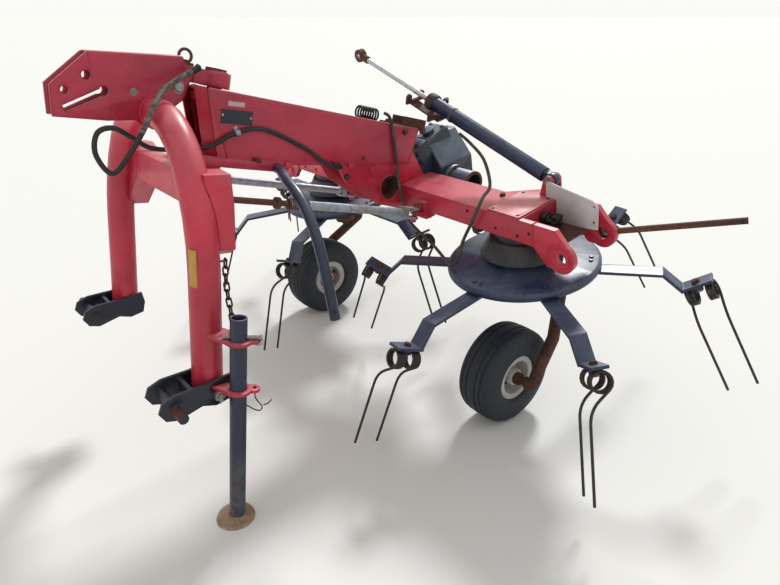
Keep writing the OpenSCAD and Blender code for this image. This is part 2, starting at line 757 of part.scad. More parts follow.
link_wire = 3;
link_l = 14.5;
link_w = 7.5;
CHAIN = [
  // across, along and up in the headstock's frame, lean and turn of each link
  [-58, 362, 396.3, 0, 90], [-58, 362.8, 373.9, 4, 0], [-58, 365.5, 351.7, 10, 90],
  [-58, 370.6, 329.9, 16, 0], [-58, 377.5, 308.6, 20, 90], [-58, 386.1, 287.9, 25, 0],
  [-58, 395.4, 267.5, 24, 90], [-58, 404.8, 247.2, 26, 0], [-58, 413.9, 226.6, 22, 90]
];
function link_end(k, n) = (2 * k < n ? 1 : -1) * (link_l - link_w);
function link_path(n) = [
  for (k = [0:n - 1]) [link_w * cos(360 * k / n), 0, link_w * sin(360 * k / n) + link_end(k, n)]
];
// One closed oval link as a skin round its ring of points.
module link() {
  n = 12;
  p = link_path(n);
  points = [
    for (i = [0:n - 1]) each ring(p[i], unit(p[(i + 1) % n] - p[(i + n - 1) % n]), [0, 1, 0], link_wire, 6)
  ];
  polyhedron(points = points, faces = [
    for (i = [0:n - 1]) for (k = [0:5])
      [i * 6 + k, ((i + 1) % n) * 6 + k, ((i + 1) % n) * 6 + (k + 1) % 6, i * 6 + (k + 1) % 6]
  ], convexity = 6);
}
// A hanging chain from a peg behind the left leg to the stand's upper lug.
module stand_chain() {
  color([0.16, 0.14, 0.13]) leaned() for (c = CHAIN)
    translate([c[0], c[1] + leg_half - 367, c[2] + lug_rise]) rotate([c[3], 0, 0]) rotate([0, 0, c[4]]) link();
}

// A strut's rear tube, forked round the tongue on the cross beam.
module strut_tube(side, r, front) {
  color([0.55, 0.55, 0.52]) raked() difference() {
    translate([0, side * strut_y, strut_z]) union() {
      translate([strut_rear + 50, 0, 0]) rotate([0, 90, 0]) cylinder(r = r, h = front - strut_rear - 50);
      for (z = [-22, 12]) translate([strut_rear, -16, z]) cube([70, 32, 10]);
      for (z = [-22, 12]) translate([strut_rear, 0, z]) cylinder(r = 16, h = 10);
      translate([strut_rear + 44, -18, -22]) cube([20, 36, 44]);
    }
    translate([strut_rear, side * strut_y, strut_z - 60]) cylinder(r = 10 + run, h = 120);
    translate([-500, side * strut_y, strut_z]) rotate([0, 90, 0]) cylinder(r = 10 + run, h = 600);
  }
}
module strut_tube_left() { strut_tube(1, 15, -258); }
module strut_tube_right() { strut_tube(-1, 14, -200); }

// A strut's front rod with its eye, which stays clear of the headstock's pin.
module strut_rod(side, stop) {
  color([0.42, 0.34, 0.28]) raked() difference() {
    translate([0, side * strut_y, strut_z]) union() {
      translate([-440, 0, 0]) rotate([0, 90, 0]) cylinder(r = 10, h = 440 + strut_front - 16);
      translate([strut_front, 0, -11.5]) cylinder(r = 21, h = 23);
      translate([stop + 34, 0, 0]) rotate([0, 90, 0]) cylinder(r = 19, h = 14);
    }
    translate([strut_front, side * strut_y, strut_z - 60]) cylinder(r = 13, h = 120);
  }
}
module strut_rod_left() { strut_rod(1, -258); }
module strut_rod_right() { strut_rod(-1, -200); }

barrel_l = 616;
rod_out = 420;
barrel_r = barrel_d / 2;
rod_r = rod_d / 2;

// The cylinder's own frame: its origin is the base pin, and z runs along the rod.
module rammed() {
  tilted(0) translate([ram_x, ram_y, ram_z]) rotate([90 - ram_slope, 0, 0]) children();
}

module cylinder_barrel() {
  color([0.12, 0.16, 0.24]) rammed() difference() {
    union() {
      translate([-12, 0, 0]) rotate([0, 90, 0]) cylinder(r = 24, h = 24);
      translate([-12, -18, 0]) cube([24, 36, 46]);
      translate([0, 0, 34]) cylinder(r = barrel_r, h = barrel_l - 34);
      translate([0, 0, barrel_l - 34]) cylinder(r = barrel_r + 5, h = 34);
      translate([-8, 0, barrel_l - 60]) rotate([0, -60, 0]) cylinder(r = 9, h = 44);
    }
    translate([-30, 0, 0]) rotate([0, 90, 0]) cylinder(r = ram_pin_r + run, h = 60);
    translate([0, 0, 60]) cylinder(r = rod_r + run, h = 700);
  }
}
module cylinder_rod() {
  color([0.70, 0.71, 0.74]) rammed() difference() {
    union() {
      translate([0, 0, barrel_l - 90]) cylinder(r = rod_r, h = 90 + rod_out);
      translate([-14, 0, barrel_l + rod_out + 16]) rotate([0, 90, 0]) cylinder(r = 24, h = 28);
    }
    translate([-30, 0, barrel_l + rod_out + 16]) rotate([0, 90, 0]) cylinder(r = 12.5, h = 60);
  }
}

// The rusty bracket on the beam's rear end that the lowered cylinder lies on.
module cylinder_rest() {
  color([0.33, 0.22, 0.18]) difference() {
    raked() union() {
      translate([-820, 0, beam_top + 5]) cube([90, 120, 10], center = true);
      translate([-862, 0, beam_top + 5]) cube([150, 60, 10], center = true);
      for (y = [-34, 34]) translate([-930, y - 5, beam_top]) cube([110, 10, 40]);
    }
    rammed() cylinder(r = barrel_r + fit, h = barrel_l);
  }
}

SPRING = [for (i = [0:7 * 14]) [20 * cos(i * 360 / 14), 20 * sin(i * 360 / 14), i * 12 / 14]];

// A heavy coil spring lying on the beam in front of the cylinder's rest.
module beam_spring() {
  color([0.10, 0.09, 0.09]) raked() translate([-720, -20, beam_top + 24.4]) rotate([0, 90, 0])
    pipe(SPRING, 4, 8);
}

HOSE = [
  [946, 72, 1264], [1044, 96, 1224], [1108, 150, 1181], [1142, 160, 1133], [1185, 150, 1071],
  [1240, 140, 1017], [1270, 125, 1069], [1254, 112, 1121], [1210, 103, 1130], [1160, 84, 1098],
  [1100, 60, 1056], [1000, 60, 1040], [930, 84, 1046], [850, 86, 1074], [747, 84, 1075],
  [603, 84, 1000], [527, 84, 941], [470, 84, 918]
];
module hydraulic_hose() {
  color([0.05, 0.05, 0.06]) place() pipe(smooth(HOSE, 2), 8, 8);
}

LOOP = [
  [256, 82.3, 1082], [228, 82.3, 1056], [204, 83, 940], [194, 84, 850], [190, 94, 790],
  [182, 118, 715], [176, 152, 662], [178, 275, 612], [222, 395, 594], [236, 430, 592],
  [212, 440, 606], [180, 434, 668], [180, 470, 745], [183, 500, 806], [150, 490, 838],
  [85, 460, 864], [14, 360, 925], [6, 285, 970], [20, 235, 1004]
];
// One long cable in a loop, from the beam down before the left rotor and up under the cylinder.
module looped_cable() {
  color([0.06, 0.05, 0.05]) place() pipe(smooth(LOOP, 2), 7, 8);
}

main_beam();
centre_box();
gearbox();
cross_beam_left();
cross_beam_right();
cover_plate_left();
cover_plate_right();
hub_left();
hub_right();
joint_guard();
guard_tube();
rear_bar();
cylinder_rest();
beam_spring();
wheel_leg_left();
wheel_leg_right();
rotor_disc_left();
rotor_disc_right();
rotor_arms_left();
rotor_arms_right();
tines_left();
tines_right();
rim_left();
rim_right();
tyre_left();
tyre_right();
headstock_leg_left();
headstock_leg_right();
crossbar();
top_link_plates();
swivel_pin();
hitch_bracket_left();
hitch_bracket_right();
lifting_ring();
stand_leg();
stand_chain();
strut_tube_left();
strut_tube_right();
strut_rod_left();
strut_rod_right();
cylinder_barrel();
cylinder_rod();
hydraulic_hose();
looped_cable();
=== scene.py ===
# %% [markdown]
# # Dressing the centre section of a hay tedder
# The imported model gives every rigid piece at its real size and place. This script
# loads it as a fixed frame and adds what the eye needs: finishes, wound wire,
# bolts, welds, the hose and the cable. Everything is in metres, +X forward, +Y to
# the machine's left and +Z up, with the ground at Z = 0.

# %% Load the frame
import json
import math

import bmesh
import bpy
from mathutils import Matrix, Vector


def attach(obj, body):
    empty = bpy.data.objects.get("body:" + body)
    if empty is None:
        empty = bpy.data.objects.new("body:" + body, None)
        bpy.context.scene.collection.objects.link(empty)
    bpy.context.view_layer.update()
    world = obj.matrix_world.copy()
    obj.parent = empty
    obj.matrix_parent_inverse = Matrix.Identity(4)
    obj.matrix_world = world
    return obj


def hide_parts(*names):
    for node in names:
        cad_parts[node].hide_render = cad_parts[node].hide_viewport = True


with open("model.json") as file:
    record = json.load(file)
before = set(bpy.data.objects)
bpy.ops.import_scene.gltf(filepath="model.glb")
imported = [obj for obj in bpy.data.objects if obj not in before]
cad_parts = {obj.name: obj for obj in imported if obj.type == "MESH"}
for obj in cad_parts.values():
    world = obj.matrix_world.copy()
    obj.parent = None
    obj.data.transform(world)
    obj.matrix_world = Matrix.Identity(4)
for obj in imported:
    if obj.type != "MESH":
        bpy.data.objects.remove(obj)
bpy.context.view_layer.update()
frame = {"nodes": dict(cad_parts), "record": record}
NODES = frame["nodes"]

# %% [markdown]
# The machine's parts lean in different ways: the rotors tilt forward, the beam
# rakes up to the headstock, and the headstock leans. Each lean is one matrix, so
# that a bolt can be placed with the round numbers a fitter would use on it.

# %% The part's own frames
ROTOR_TILT = math.radians(10.6)
BEAM_RAKE = math.radians(-14)
LEG_LEAN = math.radians(-6.6)
GEAR_LEAN = math.radians(31)
HALF_PITCH = 0.575
PLACE = Matrix.Translation((-0.251227, 0.030784, 0))
MM = Matrix.Scale(0.001, 4)


def leaning(x, y, z, angle):
    return PLACE @ Matrix.Translation((x, y, z)) @ Matrix.Rotation(angle, 4, "Y")


SIDES = {"left": 1, "right": -1}
TILTED = {name: leaning(0, side * HALF_PITCH, 0.541, ROTOR_TILT) for name, side in SIDES.items()}
CROSS = leaning(0, 0, 0.541, ROTOR_TILT)
RAKED = leaning(0.950, 0, 1.100, BEAM_RAKE)
LEANED = leaning(1.151, 0, 0.391, LEG_LEAN)
GEARED = leaning(0, 0, 0.840, GEAR_LEAN)
TRUNNION = (-0.096, 0.635, 0.345)
RAM_LEAN = math.radians(70)
RAMMED = CROSS @ Matrix.Translation(TRUNNION) @ Matrix.Rotation(RAM_LEAN, 4, "X")

# %% [markdown]
# ## Camera
# The camera stands where the photographer stood: in front of the left rotor, at
# about chest height, looking down by some 24 degrees. The lens was fitted to the
# picture, so its focal length is a measured value and not a taste.

# %% Camera
YAW = math.radians(39.126)
PITCH = math.radians(24.237)
FOCAL_PIXELS = 616
FRAME_WIDTH = 780
SENSOR_WIDTH = 36
EYE_AT = (1.447773, 1.918784, 1.407)
camera_data = bpy.data.cameras.new("camera")
camera_data.sensor_width = SENSOR_WIDTH
camera_data.lens = FOCAL_PIXELS / FRAME_WIDTH * SENSOR_WIDTH
camera = bpy.data.objects.new("camera", camera_data)
camera.location = EYE_AT
looking = Vector((-math.sin(YAW) * math.cos(PITCH), -math.cos(YAW) * math.cos(PITCH), -math.sin(PITCH)))
camera.rotation_euler = looking.to_track_quat("-Z", "Y").to_euler()
bpy.context.scene.collection.objects.link(camera)
bpy.context.scene.camera = camera

# %% [markdown]
# ## Finishes
# Years outdoors leave the same few marks on painted steel: the top faces chalk
# and go pink, rust blooms where the paint was thin, edges chip, and dust settles
# low down. The faces and rounded edges that look up are also paled as a painted
# highlight of the light from above. One function builds that story from noise, so
# that every paint on the machine ages alike and differs only in its colours and amounts.

# %% Small tools for node trees


def linear(red, green, blue):
    """A colour as the eye reads it, 0 to 255, turned into the renderer's light values."""
    light = [((c / 255 + 0.055) / 1.055) ** 2.4 if c > 10 else c / 255 / 12.92 for c in (red, green, blue)]
    return (*light, 1.0)


class Finish:
    """A material under construction: short calls add nodes and return their outputs."""

    def __init__(self, name):
        self.material = bpy.data.materials.new(name)
        self.material.use_nodes = True
        self.tree = self.material.node_tree
        self.tree.nodes.clear()
        self.shader = self.node("BsdfPrincipled")
        output = self.node("OutputMaterial")
        self.tree.links.new(self.shader.outputs[0], output.inputs["Surface"])
        self.where = self.node("TexCoord").outputs["Object"]
        self.facing = self.node("NewGeometry").outputs["Normal"]

    def node(self, kind):
        return self.tree.nodes.new("ShaderNode" + kind)

    def feed(self, socket, value):
        if isinstance(value, bpy.types.NodeSocket):
            self.tree.links.new(value, socket)
        elif value is not None:
            socket.default_value = value

    def noise(self, scale, detail=4, roughness=0.6, distortion=0.0, stretch=None):
        place = self.where
        if stretch is not None:
            mapping = self.node("Mapping")
            self.feed(mapping.inputs["Vector"], self.where)
            mapping.inputs["Scale"].default_value = stretch
            place = mapping.outputs[0]
        texture = self.node("TexNoise")
        self.feed(texture.inputs["Vector"], place)
        texture.inputs["Scale"].default_value = scale
        texture.inputs["Detail"].default_value = detail
        texture.inputs["Roughness"].default_value = roughness
        texture.inputs["Distortion"].default_value = distortion
        return texture.outputs["Fac"]

    def cells(self, scale):
        """Cells like the grain of zinc, each of one colour of its own."""
        texture = self.node("TexVoronoi")
        self.feed(texture.inputs["Vector"], self.where)
        texture.inputs["Scale"].default_value = scale
        return texture.outputs["Color"]

    def spread(self, value, low, high, to_low=0.0, to_high=1.0):
        node = self.node("MapRange")
        self.feed(node.inputs["Value"], value)
        node.inputs["From Min"].default_value = low
        node.inputs["From Max"].default_value = high
        node.inputs["To Min"].default_value = to_low
        node.inputs["To Max"].default_value = to_high
        return node.outputs[0]

    def sums(self, operation, one, other=None):
        node = self.node("Math")
        node.operation = operation
        self.feed(node.inputs[0], one)
        self.feed(node.inputs[1], other)
        return node.outputs[0]

    def blend(self, share, one, other):
        node = self.node("Mix")
        node.data_type = "RGBA"
        self.feed(node.inputs["Factor"], share)
        self.feed(node.inputs[6], one)
        self.feed(node.inputs[7], other)
        return node.outputs[2]

    def axis(self, vector, letter):
        node = self.node("SeparateXYZ")
        self.feed(node.inputs[0], vector)
        return node.outputs[letter]

    def soft_edges(self, radius):
        """A normal that turns smoothly over each edge, as sheet does where a press bent it."""
        bevel = self.node("Bevel")
        bevel.samples = 4
        bevel.inputs["Radius"].default_value = radius
        return bevel.outputs[0]

    def worn_edges(self, soft, low, high):
        """1 on sharp edges and 0 on flats: how far the soft normal leaves the true one."""
        dot = self.node("VectorMath")
        dot.operation = "DOT_PRODUCT"
        self.feed(dot.inputs[0], soft)
        self.feed(dot.inputs[1], self.facing)
        return self.spread(dot.outputs["Value"], 1 - low, 1 - high)

    def bump(self, height, strength, distance, soft=None):
        node = self.node("Bump")
        node.inputs["Strength"].default_value = strength
        node.inputs["Distance"].default_value = distance
        self.feed(node.inputs["Height"], height)
        if soft is not None:
            self.feed(node.inputs["Normal"], soft)
        return node.outputs[0]

    def done(self, colour, roughness, metallic=0.0, normal=None):
        self.feed(self.shader.inputs["Base Color"], colour)
        self.feed(self.shader.inputs["Roughness"], roughness)
        self.shader.inputs["Metallic"].default_value = metallic
        if normal is not None:
            self.feed(self.shader.inputs["Normal"], normal)
        return self.material


# %% Weathered paint
RUST_DARK = linear(52, 30, 24)
RUST_BRIGHT = linear(128, 70, 42)
DUST = linear(150, 132, 108)


def weathered_paint(
        name, sound, faded, deep, rust=0.5, chips=0.5, chalk_and_highlight=0.6, dust_to=0.45, gloss=0.42, edge=0.005):
    """Sound, faded and deep are the paint's colours; rust, chips and chalk are amounts from 0 to 1, and the
    chalk amount also sets the painted highlight on faces that look up.

    Dust reaches dust_to metres up, gloss is the roughness, and edge the roundness in metres."""
    paint = Finish(name)
    soft = paint.soft_edges(edge)
    broad = paint.noise(2.6, detail=5, roughness=0.62)
    patchy = paint.noise(11, detail=6, roughness=0.7, distortion=0.6)
    fine = paint.noise(95, detail=4, roughness=0.7)
    colour = paint.blend(paint.spread(broad, 0.36, 0.66), deep, sound)
    colour = paint.blend(paint.sums("MULTIPLY", paint.spread(patchy, 0.5, 0.8), 0.22 * chalk_and_highlight), colour, faded)
    # Faces and soft edges that look up go towards the faded colour: partly chalked paint, partly a painted
    # highlight of the light from above.
    upward = paint.spread(paint.axis(soft, "Z"), 0.25, 0.95)
    top_chalk_and_highlight = paint.sums("MULTIPLY", upward, paint.spread(patchy, 0.25, 0.6, 0.35, 1.0))
    colour = paint.blend(paint.sums("MULTIPLY", top_chalk_and_highlight, chalk_and_highlight), colour, faded)
    streaks = paint.noise(26, detail=5, roughness=0.75, stretch=(1.0, 1.0, 0.16))
    colour = paint.blend(paint.spread(streaks, 0.6, 0.78, 0.0, 0.3), colour, deep)
    rusted = paint.blend(paint.spread(fine, 0.35, 0.65), RUST_DARK, RUST_BRIGHT)
    blooms = paint.noise(7.5, detail=8, roughness=0.74, distortion=0.3)
    bloom = paint.spread(blooms, 0.745 - 0.12 * rust, 0.80 - 0.12 * rust)
    specks = paint.spread(paint.noise(60, detail=5, roughness=0.65), 0.73 - 0.08 * rust, 0.77 - 0.08 * rust)
    chipped = paint.spread(patchy, 0.62 - 0.3 * chips, 0.72 - 0.3 * chips)
    worn = paint.sums("MULTIPLY", paint.worn_edges(soft, 0.08, 0.25), chipped)
    bare = paint.sums("MAXIMUM", paint.sums("MAXIMUM", bloom, specks), worn)
    colour = paint.blend(bare, colour, rusted)
    low = paint.spread(paint.axis(paint.where, "Z"), dust_to, 0.0, 0.0, 0.55)
    dusty = paint.sums("ADD", low, paint.sums("MULTIPLY", upward, 0.16))
    colour = paint.blend(paint.sums("MULTIPLY", dusty, paint.spread(patchy, 0.35, 0.7)), colour, DUST)
    sheen = paint.spread(patchy, 0.3, 0.7, gloss - 0.06, gloss + 0.14)
    roughness = paint.sums("ADD", sheen, paint.sums("MULTIPLY", bare, 0.3))
    height = paint.sums("SUBTRACT", paint.sums("MULTIPLY", fine, 0.35), paint.sums("MULTIPLY", bare, 0.6))
    return paint.done(colour, roughness, normal=paint.bump(height, 0.35, 0.0012, soft))


# The legs' red is the same paint as the beam's red below, made lighter as painted sunlight; the beam's red
# keeps the paint's own tone.
SUNLIT_PAINTED_RED = weathered_paint(
    "faded red paint lightened as painted sunlight", linear(204, 46, 70), linear(226, 118, 134), linear(166, 33, 54),
    rust=0.55, chips=0.6, chalk_and_highlight=0.6, gloss=0.34)
BEAM_RED = weathered_paint(
    "faded red sheet", linear(186, 42, 70), linear(224, 130, 142), linear(156, 32, 58),
    rust=0.5, chips=0.5, chalk_and_highlight=0.7, gloss=0.34, edge=0.012)
PALE_RED = weathered_paint(
    "chalky red paint", linear(204, 92, 102), linear(228, 152, 156), linear(172, 62, 74),
    rust=0.6, chips=0.7, chalk_and_highlight=0.9)
DARK_BLUE = weathered_paint(
    "dull blue-black paint", linear(22, 38, 70), linear(74, 98, 132), linear(14, 25, 47),
    rust=0.55, chips=0.6, chalk_and_highlight=0.55, dust_to=0.25, gloss=0.3)
BLACK = weathered_paint(
    "worn black paint", linear(14, 26, 46), linear(50, 68, 94), linear(10, 17, 29),
    rust=0.55, chips=0.6, chalk_and_highlight=0.35, dust_to=0.2, gloss=0.36)
PALE_GREY = weathered_paint(
    "pale grey paint", linear(216, 219, 224), linear(236, 237, 238), linear(186, 186, 184),
    rust=0.3, chips=0.55, chalk_and_highlight=0.5, gloss=0.45)
PALE_RIM = weathered_paint(
    "pale rim paint", linear(196, 198, 198), linear(222, 222, 220), linear(146, 142, 134),
    rust=0.75, chips=0.7, chalk_and_highlight=0.4, gloss=0.5)
GREY_CASTING = weathered_paint(
    "grey painted casting", linear(44, 59, 78), linear(118, 142, 164), linear(27, 36, 48),
    rust=0.75, chips=0.8, chalk_and_highlight=0.9, gloss=0.4)
PALE_BLUE = weathered_paint(
    "pale blue-grey paint", linear(116, 136, 154), linear(168, 182, 192), linear(84, 98, 112),
    rust=0.7, chips=0.8, chalk_and_highlight=0.6, gloss=0.4)
YELLOW_FILM = weathered_paint(
    "faded yellow film", linear(206, 166, 62), linear(226, 204, 140), linear(168, 128, 52),
    rust=0.1, chips=0.2, chalk_and_highlight=0.5, gloss=0.35)
WHITE_FILM = weathered_paint(
    "stained white film", linear(214, 196, 194), linear(232, 224, 222), linear(190, 150, 150),
    rust=0.1, chips=0.2, chalk_and_highlight=0.4, gloss=0.4)
DARK_CASTING = weathered_paint(
    "oily dark casting", linear(34, 37, 43), linear(66, 70, 76), linear(18, 19, 22),
    rust=0.3, chips=0.3, chalk_and_highlight=0.35, gloss=0.4)
print("paints ready")

# %% [markdown]
# Bare steel needs other stories. Rust is three browns in one crust, so its colour,
# its roughness and its bumps come from the same noise. Zinc shows its grain as
# cells that differ a little in brightness. Chromed rods stay bright below dust.

# %% Bare metal and rubber


def crusted_rust(name, dark, mid, bright):
    rust = Finish(name)
    broad = rust.noise(9, detail=6, roughness=0.7)
    fine = rust.noise(120, detail=5, roughness=0.75)
    colour = rust.blend(rust.spread(broad, 0.36, 0.62), dark, mid)
    colour = rust.blend(rust.spread(fine, 0.5, 0.74), colour, bright)
    height = rust.sums("ADD", rust.sums("MULTIPLY", broad, 0.5), fine)
    rough = rust.spread(fine, 0.3, 0.7, 0.66, 0.92)
    return rust.done(colour, rough, metallic=0.15, normal=rust.bump(height, 0.5, 0.0016))


def dull_steel(name, base, stain, roughness, spangle=0.0, metallic=0.8):
    steel = Finish(name)
    grain = steel.noise(55, detail=5, roughness=0.7)
    patch = steel.noise(6, detail=6, roughness=0.7, distortion=0.4)
    colour = steel.blend(steel.spread(grain, 0.3, 0.75, 0.0, 0.5), base, linear(30, 30, 32))
    if spangle:
        cell = steel.spread(steel.axis(steel.cells(85), "X"), 0.0, 1.0, 0.0, spangle)
        colour = steel.blend(cell, colour, linear(226, 226, 220))
    colour = steel.blend(steel.spread(patch, 0.52, 0.72, 0.0, 0.85), colour, stain)
    rough = steel.spread(patch, 0.3, 0.75, roughness - 0.08, roughness + 0.25)
    return steel.done(colour, rough, metallic=metallic, normal=steel.bump(grain, 0.2, 0.0008))


def dusty_rubber(name, base, dust, dust_amount, grain=14):
    rubber = Finish(name)
    patch = rubber.noise(grain, detail=6, roughness=0.7)
    fine = rubber.noise(150, detail=4, roughness=0.7)
    settled = rubber.sums("MULTIPLY", rubber.spread(patch, 0.38, 0.68), dust_amount)
    colour = rubber.blend(settled, base, dust)
    rough = rubber.spread(patch, 0.3, 0.7, 0.62, 0.88)
    return rubber.done(colour, rough, normal=rubber.bump(fine, 0.25, 0.0006))


RUSTY_STEEL = crusted_rust("rusty steel", linear(48, 32, 28), linear(92, 56, 42), linear(136, 88, 60))
SPRING_STEEL = dull_steel(
    "weathered spring steel", linear(58, 52, 54), linear(84, 50, 40), 0.5, metallic=0.45)
BLACK_STEEL = dull_steel("oiled black steel", linear(44, 44, 46), linear(60, 50, 42), 0.42, metallic=0.6)
GALVANISED = dull_steel(
    "dull zinc", linear(150, 157, 172), linear(148, 136, 118), 0.45, spangle=0.25, metallic=0.5)
CHROMED = dull_steel("chromed rod", linear(200, 202, 208), linear(140, 136, 128), 0.22, metallic=0.9)
BRIGHT_STEEL = dull_steel(
    "worn bright steel", linear(150, 148, 144), linear(116, 100, 82), 0.38, metallic=0.7)
SANDY_RUST = crusted_rust("sandy rust", linear(126, 98, 78), linear(172, 146, 120), linear(200, 178, 152))
TYRE_RUBBER = dusty_rubber("tyre rubber", linear(15, 23, 35), linear(80, 86, 94), 0.3, grain=38)
FLAKED_SLEEVE = dusty_rubber("flaking sleeve", linear(40, 38, 38), linear(150, 144, 134), 0.7, grain=110)
HOSE_RUBBER = dusty_rubber("hose rubber", linear(26, 26, 29), linear(92, 88, 82), 0.3)
CABLE_JACKET = dusty_rubber("cable jacket", linear(40, 38, 37), linear(126, 118, 104), 0.45)
print("metals and rubber ready")

# %% [markdown]
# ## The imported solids
# A CAD solid arrives as loose triangles with razor edges. Nothing real has those:
# sheet is rounded by the press and bar by the mill. The mesh must stay as it is,
# so four modifiers do it: weld the triangles, dissolve the flat ones into whole
# faces, bevel what is left sharp, and keep normals flat beside the small bevels.

# %% Finish and soften every CAD node
LOOKS = {
    "faded_red_paint": SUNLIT_PAINTED_RED, "pale_red_paint": PALE_RED, "pale_grey_paint": PALE_GREY,
    "dark_blue_paint": DARK_BLUE, "black_paint": BLACK, "pale_rim_paint": PALE_RIM,
    "grey_cast_iron": GREY_CASTING, "dark_cast_iron": DARK_CASTING, "rusty_steel": RUSTY_STEEL,
    "black_steel": BLACK_STEEL, "dull_spring_steel": SPRING_STEEL, "galvanised_steel": GALVANISED,
    "chromed_steel": CHROMED, "tyre_rubber": TYRE_RUBBER, "hose_rubber": HOSE_RUBBER,
    "cable_plastic": CABLE_JACKET,
}
FOLDED_SHEET = ("main_beam", "top_link_plates")
SOFT_EDGE = 0.0015
slot_of = {entry["node"]: entry["material_slot"] for entry in frame["record"]["subparts"]}


def soften(obj, width, turn=28):
    """Round edges sharper than turn degrees by width metres, without touching the mesh."""
    for polygon in obj.data.polygons:
        polygon.use_smooth = True
    weld = obj.modifiers.new("weld", "WELD")
    weld.merge_threshold = 0.00002
    flat = obj.modifiers.new("flat", "DECIMATE")
    flat.decimate_type = "DISSOLVE"
    flat.angle_limit = math.radians(0.6)
    edge = obj.modifiers.new("edge", "BEVEL")
    edge.width = width
    edge.segments = 2
    edge.limit_method = "ANGLE"
    edge.angle_limit = math.radians(turn)
    edge.harden_normals = True


for name, obj in NODES.items():
    obj.data.materials.clear()
    obj.data.materials.append(BEAM_RED if name in FOLDED_SHEET else LOOKS[slot_of[name]])
    soften(obj, SOFT_EDGE)
print("softened", len(NODES), "nodes")

# %% [markdown]
# ## Tools for new pieces
# New pieces start from a bmesh primitive or a drawn wire. A wire is a curve with a
# round bevel, which is how a bent rod is best described: by its centre line and
# its thickness. It is turned into a mesh at once, so that it exports like the rest.

# %% Helpers that make and place pieces
SLOT_OF = {look.name: slot for slot, look in LOOKS.items()}
for look, slot in (
        (BEAM_RED, "faded_red_paint"), (SANDY_RUST, "rusty_steel"), (BRIGHT_STEEL, "galvanised_steel"),
        (PALE_BLUE, "grey_cast_iron"), (YELLOW_FILM, "pale_grey_paint"), (WHITE_FILM, "pale_grey_paint")):
    SLOT_OF[look.name] = slot
made = []


def finish_piece(name, mesh, look, body, replaces=(), turn=35):
    """Put a mesh into the scene as a named piece on a body, with its look as its one material."""
    obj = bpy.data.objects.new(name, mesh)
    bpy.context.scene.collection.objects.link(obj)
    mesh.materials.clear()
    mesh.materials.append(look)
    for polygon in mesh.polygons:
        polygon.use_smooth = True
    mesh.set_sharp_from_angle(angle=math.radians(turn))
    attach(obj, body)
    if replaces:
        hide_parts(*replaces)
    made.append(obj)
    return obj


def from_bmesh(name, bm, look, body, place=PLACE, replaces=(), turn=35):
    """Bring a piece drawn in millimetres to its place, point its faces outwards and finish it."""
    bmesh.ops.transform(bm, matrix=place @ MM, verts=bm.verts)
    bmesh.ops.remove_doubles(bm, verts=bm.verts, dist=0.00001)
    bmesh.ops.recalc_face_normals(bm, faces=bm.faces)
    mesh = bpy.data.meshes.new(name)
    bm.to_mesh(mesh)
    bm.free()
    return finish_piece(name, mesh, look, body, replaces, turn)


def aim(start, end):
    """A matrix that puts a Z-long unit between start and end."""
    start, end = Vector(start), Vector(end)
    turn = (end - start).to_track_quat("Z", "Y").to_matrix().to_4x4()
    return Matrix.Translation((start + end) / 2) @ turn


def add_rod(bm, start, end, radius, sides=20, far_radius=None):
    """A closed cylinder or cone from start to end."""
    length = (Vector(end) - Vector(start)).length
    far = radius if far_radius is None else far_radius
    bmesh.ops.create_cone(
        bm, cap_ends=True, segments=sides, radius1=radius, radius2=far, depth=length, matrix=aim(start, end))


def add_block(bm, middle, size, turn=None):
    """A box with its middle and its three sizes."""
    matrix = Matrix.Translation(middle) @ (turn or Matrix.Identity(4)) @ Matrix.Diagonal((*size, 1))
    bmesh.ops.create_cube(bm, size=1, matrix=matrix)


def add_prism(bm, outline, depth, at=(0, 0, 0), turn=None):
    """An outline of (x, z) points made a plate, spread evenly about Y = 0."""
    matrix = Matrix.Translation(at) @ (turn or Matrix.Identity(4))
    near = [bm.verts.new(matrix @ Vector((x, -depth / 2, z))) for x, z in outline]
    far = [bm.verts.new(matrix @ Vector((x, depth / 2, z))) for x, z in outline]
    bm.faces.new(near)
    bm.faces.new(far[::-1])
    for i in range(len(outline)):
        j = (i + 1) % len(outline)
        bm.faces.new((near[j], near[i], far[i], far[j]))


def add_loft(bm, rings):
    """Closed rings of points, all alike, joined into one solid with flat ends."""
    loops = [[bm.verts.new(point) for point in ring] for ring in rings]
    for one, two in zip(loops, loops[1:]):
        for i in range(len(one)):
            j = (i + 1) % len(one)
            bm.faces.new((one[i], one[j], two[j], two[i]))
    bm.faces.new(loops[0][::-1])
    bm.faces.new(loops[-1])


def add_sheet(bm, rows, thickness):
    """A bent sheet: rows of points joined into faces and thickened."""
    grid = [[bm.verts.new(point) for point in row] for row in rows]
    faces = [
        bm.faces.new((a[i], a[i + 1], b[i + 1], b[i]))
        for a, b in zip(grid, grid[1:]) for i in range(len(a) - 1)]
    bmesh.ops.recalc_face_normals(bm, faces=faces)
    bmesh.ops.solidify(bm, geom=faces, thickness=thickness)


def add_hex(bm, seat, out, across, height, sides=6):
    """A chamfered head standing on seat along the direction out."""
    seat, out = Vector(seat), Vector(out).normalized()
    radius = across / math.sqrt(3)
    add_rod(bm, seat, seat + out * height * 0.78, radius, sides)
    add_rod(bm, seat + out * height * 0.78, seat + out * height, radius, sides, radius * 0.86)


def add_bolt(bm, seat, out, size=12, washer=True, tail=0):
    """A hexagon head on a washer, with a threaded tail if tail is given."""
    seat, out = Vector(seat), Vector(out).normalized()
    if washer:
        add_rod(bm, seat, seat + out * 2, size * 1.05, 24)
        seat = seat + out * 2
    add_hex(bm, seat, out, size * 1.55, size * 0.62)
    if tail:
        add_rod(bm, seat, seat + out * (size * 0.62 + tail), size * 0.5, 14)


